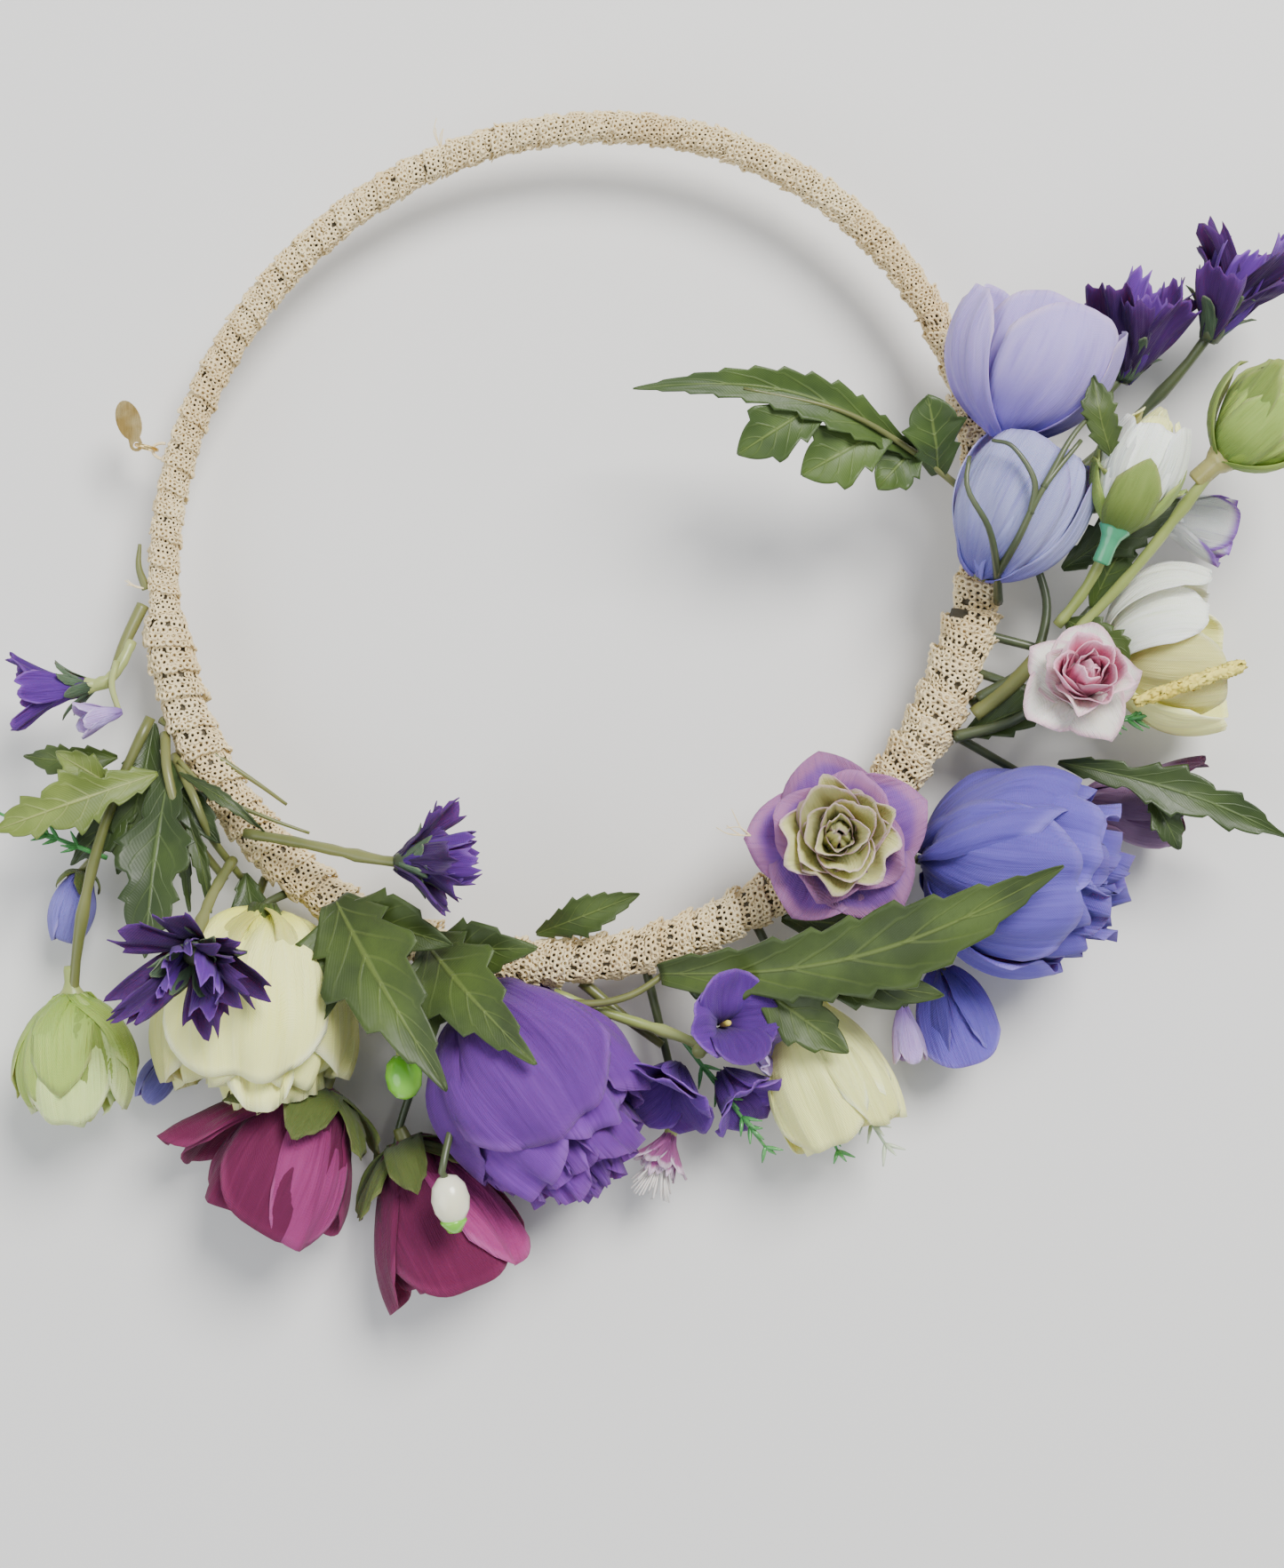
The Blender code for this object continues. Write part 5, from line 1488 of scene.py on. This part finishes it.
def wind_lace(node, pitch, rough, seed, wobble, lap_rise, fineness, eyelet_every):
    """Replaces a CAD length of lace by wound ribbon, and the tape under it."""
    first, last, radius_first, radius_last = lace_radius(node)
    rng = np.random.default_rng(seed)
    fine = np.linspace(first, last, 400)
    run = np.concatenate([[0], np.cumsum(np.hypot(np.diff(hoop_radius(fine) * np.cos(np.radians(fine))),
                                                  np.diff(hoop_radius(fine) * np.sin(np.radians(fine)))))])
    length = run[-1]
    mean_radius = (radius_first + radius_last) / 2
    turn_length = math.hypot(math.tau * mean_radius, pitch)
    ribbon = length / pitch * turn_length
    stitch_step, row_step = STITCH_STEP * fineness, ROW_STEP * fineness
    count = int(ribbon / stitch_step)
    bm = stitch_ring()
    bmesh.ops.scale(bm, verts=bm.verts[:], vec=(fineness, fineness, fineness))
    mesh = bpy.data.meshes.new(f"{node}.ribbon")
    bm.to_mesh(mesh)
    ring_verts = len(bm.verts)
    bm.free()
    piece = bpy.data.objects.new(f"{node}.ribbon", mesh)
    bpy.context.scene.collection.objects.link(piece)
    for label, repeats, step in (("rows", RIBBON_ROWS, (0, row_step, 0)),
                                 ("stitches", count, (stitch_step, 0, 0))):
        array = piece.modifiers.new(label, "ARRAY")
        array.count = repeats
        array.use_relative_offset = False
        array.use_constant_offset = True
        array.constant_offset_displace = step
    graph = bpy.context.evaluated_depsgraph_get()
    flat = bpy.data.meshes.new_from_object(piece.evaluated_get(graph))
    piece.modifiers.clear()
    piece.data = flat
    co = np.empty(len(flat.vertices) * 3)
    flat.vertices.foreach_get("co", co)
    co = co.reshape(-1, 3)
    number = np.arange(len(co)) // ring_verts
    row = number % RIBBON_ROWS
    column = number // RIBBON_ROWS
    centre = np.stack([column * stitch_step, row * row_step, np.zeros(len(co))], 1)
    local = co - centre
    tilt = np.clip(rng.normal(0, STITCH_TILT, (number.max() + 1, 2)), -STITCH_TILT_LIMIT,
                   STITCH_TILT_LIMIT)[number]
    grow = rng.normal(1.0, STITCH_GROWTH, number.max() + 1)[number]
    local[:, 2] += local[:, 0] * np.tan(tilt[:, 0]) + local[:, 1] * np.tan(tilt[:, 1])
    local *= grow[:, None]
    local[:, 0] *= STITCH_STRETCH
    shift = rng.normal(0, STITCH_SHIFT, (number.max() + 1, 3))[number]
    centre[:, 0] += np.where(row % 2 == 1, 0.5 * stitch_step, 0.0)
    scallop = np.where((row == RIBBON_ROWS - 1) | (row == 0), SCALLOP * np.sin(column * math.tau / 4), 0.0)
    centre[:, 1] += scallop
    place_on = centre + local + shift
    s = place_on[:, 0]
    t = place_on[:, 1] - (RIBBON_ROWS - 1) * row_step / 2
    z = place_on[:, 2]
    turns = s / turn_length
    h = turns * pitch
    slope = math.atan2(pitch, math.tau * mean_radius)
    loose = wobble * np.sin(turns * 0.9 + seed) + wobble * 0.6 * np.sin(turns * 2.3)
    h = h + t * math.cos(slope) + loose
    share = np.clip(h / length, -0.02, 1.02)
    radius = radius_first + (radius_last - radius_first) * share
    lap = lap_rise * (t / (RIBBON_ROWS * row_step)) + z
    lap += rough * (np.sin(turns * 1.7 + 0.6 * t) * 0.5 + np.sin(turns * 4.1 + seed))
    r = radius - RIBBON_SINK + lap
    phi = turns * math.tau - t * math.sin(slope) / mean_radius
    keep = np.clip(h, 0.0, length)
    bearing = np.interp(keep, run, fine)
    base = hoop_radius(bearing)
    angle = np.radians(bearing)
    over = h - keep
    out = r * np.cos(phi)
    x = (base + out) * np.cos(angle) - over * np.sin(angle) * 0.15
    y = (base + out) * np.sin(angle) + over * np.cos(angle) * 0.15
    final = np.stack([x, y, r * np.sin(phi)], 1) * MM
    flat.vertices.foreach_set("co", final.reshape(-1))
    left_out = (row == EYELET_ROW) & (column % eyelet_every == 0)
    bm = bmesh.new()
    bm.from_mesh(flat)
    bm.verts.ensure_lookup_table()
    bmesh.ops.delete(bm, geom=[bm.verts[i] for i in np.flatnonzero(left_out)], context="VERTS")
    bm.to_mesh(flat)
    bm.free()
    flat.update()
    for polygon in flat.polygons:
        polygon.use_smooth = True
    flat.materials.clear()
    flat.materials.append(YARN_LOOK)
    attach(piece, BODY_OF[node])
    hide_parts(node)
    steps = max(8, int((last - first) / 3))
    tape = [at(b, 0, 0) for b in np.linspace(first, last, steps)]
    thickness = list(np.linspace(radius_first, radius_last, steps) - TAPE_SINK)
    # The tape shows in the eyelets, and its dark colour stands in as painted shade there.
    rods(f"{node}.tape", [(tape, thickness)], TAPE_AND_HOLE_SHADE_LOOK, BODY_OF[node], (node,), 20)
    print(node, "ribbon", round(ribbon), "mm,", count * RIBBON_ROWS, "stitches,", len(flat.polygons), "faces")


for row in (
    ("lace_back_right", 5.4, 0.06, 101, 0.2, 1.1, 0.86, 9), ("lace_back_left", 5.6, 0.06, 102, 0.2, 1.1,
                                                             0.86, 11),
    ("lace_left", 6.6, 0.16, 103, 0.7, 1.9, 1.0, 3), ("lace_front", 6.6, 0.16, 104, 0.8, 2.0, 1.0, 2),
    ("lace_right_lower", 7.6, 0.20, 105, 0.8, 2.2, 1.0, 2), ("lace_right_upper", 7.2, 0.18, 106, 0.7, 2.0,
                                                             1.0, 3),
):
    wind_lace(*row)


# %% [markdown]
# ### Loose ends
# Yarn ends stick out where the ribbon was knotted and at the lilac rose.

# %% Loose ends
rng = random.Random(9)
THREADS = (
    (at(108.6, 2.0, 1.5), Vector((-0.10, 1.0, 0.1)), 7.0, 5),
    (at(300.8, -14.5, 20.0), Vector((-1.0, 0.55, 0.1)), 9.0, 5),
    (at(186.0, 4.0, 3.0), Vector((-0.9, 0.4, 0.3)), 4.0, 3),
    (at(271.0, -5.0, 2.0), Vector((0.2, 1.0, 0.2)), 3.5, 3),
)
rows = []
for start, way, long, count in THREADS:
    for k in range(count):
        turn = Vector((rng.uniform(-0.4, 0.4), rng.uniform(-0.4, 0.4), rng.uniform(-0.2, 0.3)))
        aim = (way.normalized() + turn).normalized() * long * rng.uniform(0.6, 1.1) * MM
        kink = Vector((rng.uniform(-1, 1), rng.uniform(-1, 1), rng.uniform(-0.4, 1))) * 0.14 * long * MM
        rows.append(tapered([start, start + aim * 0.5 + kink, start + aim], 12, 0.18, 0.10))
rods("loose_threads.yarn", rows, YARN_LOOK, "crown", sides=6)


# %% [markdown]
# ## The tag
# The ring and the tag are hard metal parts, so the CAD solids stay and only their metal is added.

# %% Tag
for node, look in (("jump_ring", BRASS_LOOK), ("brass_tag", BRASS_LOOK), ("thread_loop", YARN_LOOK),
                   ("hoop_wire", STEM_DARK)):
    mesh = NODES[node].data
    mesh.materials.clear()
    mesh.materials.append(look)


# %% [markdown]
# ## Studio
# A pale floor just under the lowest flower, one large soft light from the upper left as in a room
# with a window, and a weak fill. The camera looks straight down from half a metre.

# %% Studio
FLOOR_GAP = 1.5 * MM
low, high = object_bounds()
floor_bm = bmesh.new()
bmesh.ops.create_grid(floor_bm, x_segments=1, y_segments=1, size=3.0)
bmesh.ops.translate(floor_bm, verts=floor_bm.verts, vec=(0, 0, low[2] - FLOOR_GAP))
floor_mesh = bpy.data.meshes.new("floor")
floor_bm.to_mesh(floor_mesh)
floor_bm.free()
floor = bpy.data.objects.new("floor", floor_mesh)
bpy.context.scene.collection.objects.link(floor)
floor_look = Look("pale_floor")
floor_look.set(Base_Color=rgb(0.80, 0.79, 0.77), Roughness=0.85)
floor_mesh.materials.append(floor_look.material)


def area_light(name, location, aim, size, power, colour):
    light = bpy.data.lights.new(name, "AREA")
    light.shape = "DISK"
    light.size = size
    light.energy = power
    light.color = colour
    lamp = bpy.data.objects.new(name, light)
    lamp.location = location
    lamp.rotation_euler = (Vector(aim) - Vector(location)).to_track_quat("-Z", "Y").to_euler()
    bpy.context.scene.collection.objects.link(lamp)


area_light("key", (0.55, 0.75, 1.25), (0.0, -0.03, 0.0), 0.75, 38.0, (1.0, 0.985, 0.96))
area_light("fill", (-0.9, -0.5, 1.0), (0.0, -0.03, 0.0), 1.2, 9.0, (0.93, 0.96, 1.0))
world = bpy.data.worlds.new("room")
world.use_nodes = True
world.node_tree.nodes["Background"].inputs["Color"].default_value = (0.90, 0.94, 1.0, 1)
world.node_tree.nodes["Background"].inputs["Strength"].default_value = 0.55
bpy.context.scene.world = world

CAMERA_HEIGHT = 500.0
CAMERA_OVER = (15.3, -53.9)
VIEW_TALL = 353.0
camera_data = bpy.data.cameras.new("camera")
camera_data.sensor_fit = "VERTICAL"
camera_data.angle = 2 * math.atan(VIEW_TALL / 2 / CAMERA_HEIGHT)
camera_data.clip_start = 0.01
camera = bpy.data.objects.new("camera", camera_data)
camera.location = Vector((CAMERA_OVER[0], CAMERA_OVER[1], CAMERA_HEIGHT)) * MM
bpy.context.scene.collection.objects.link(camera)
bpy.context.scene.camera = camera
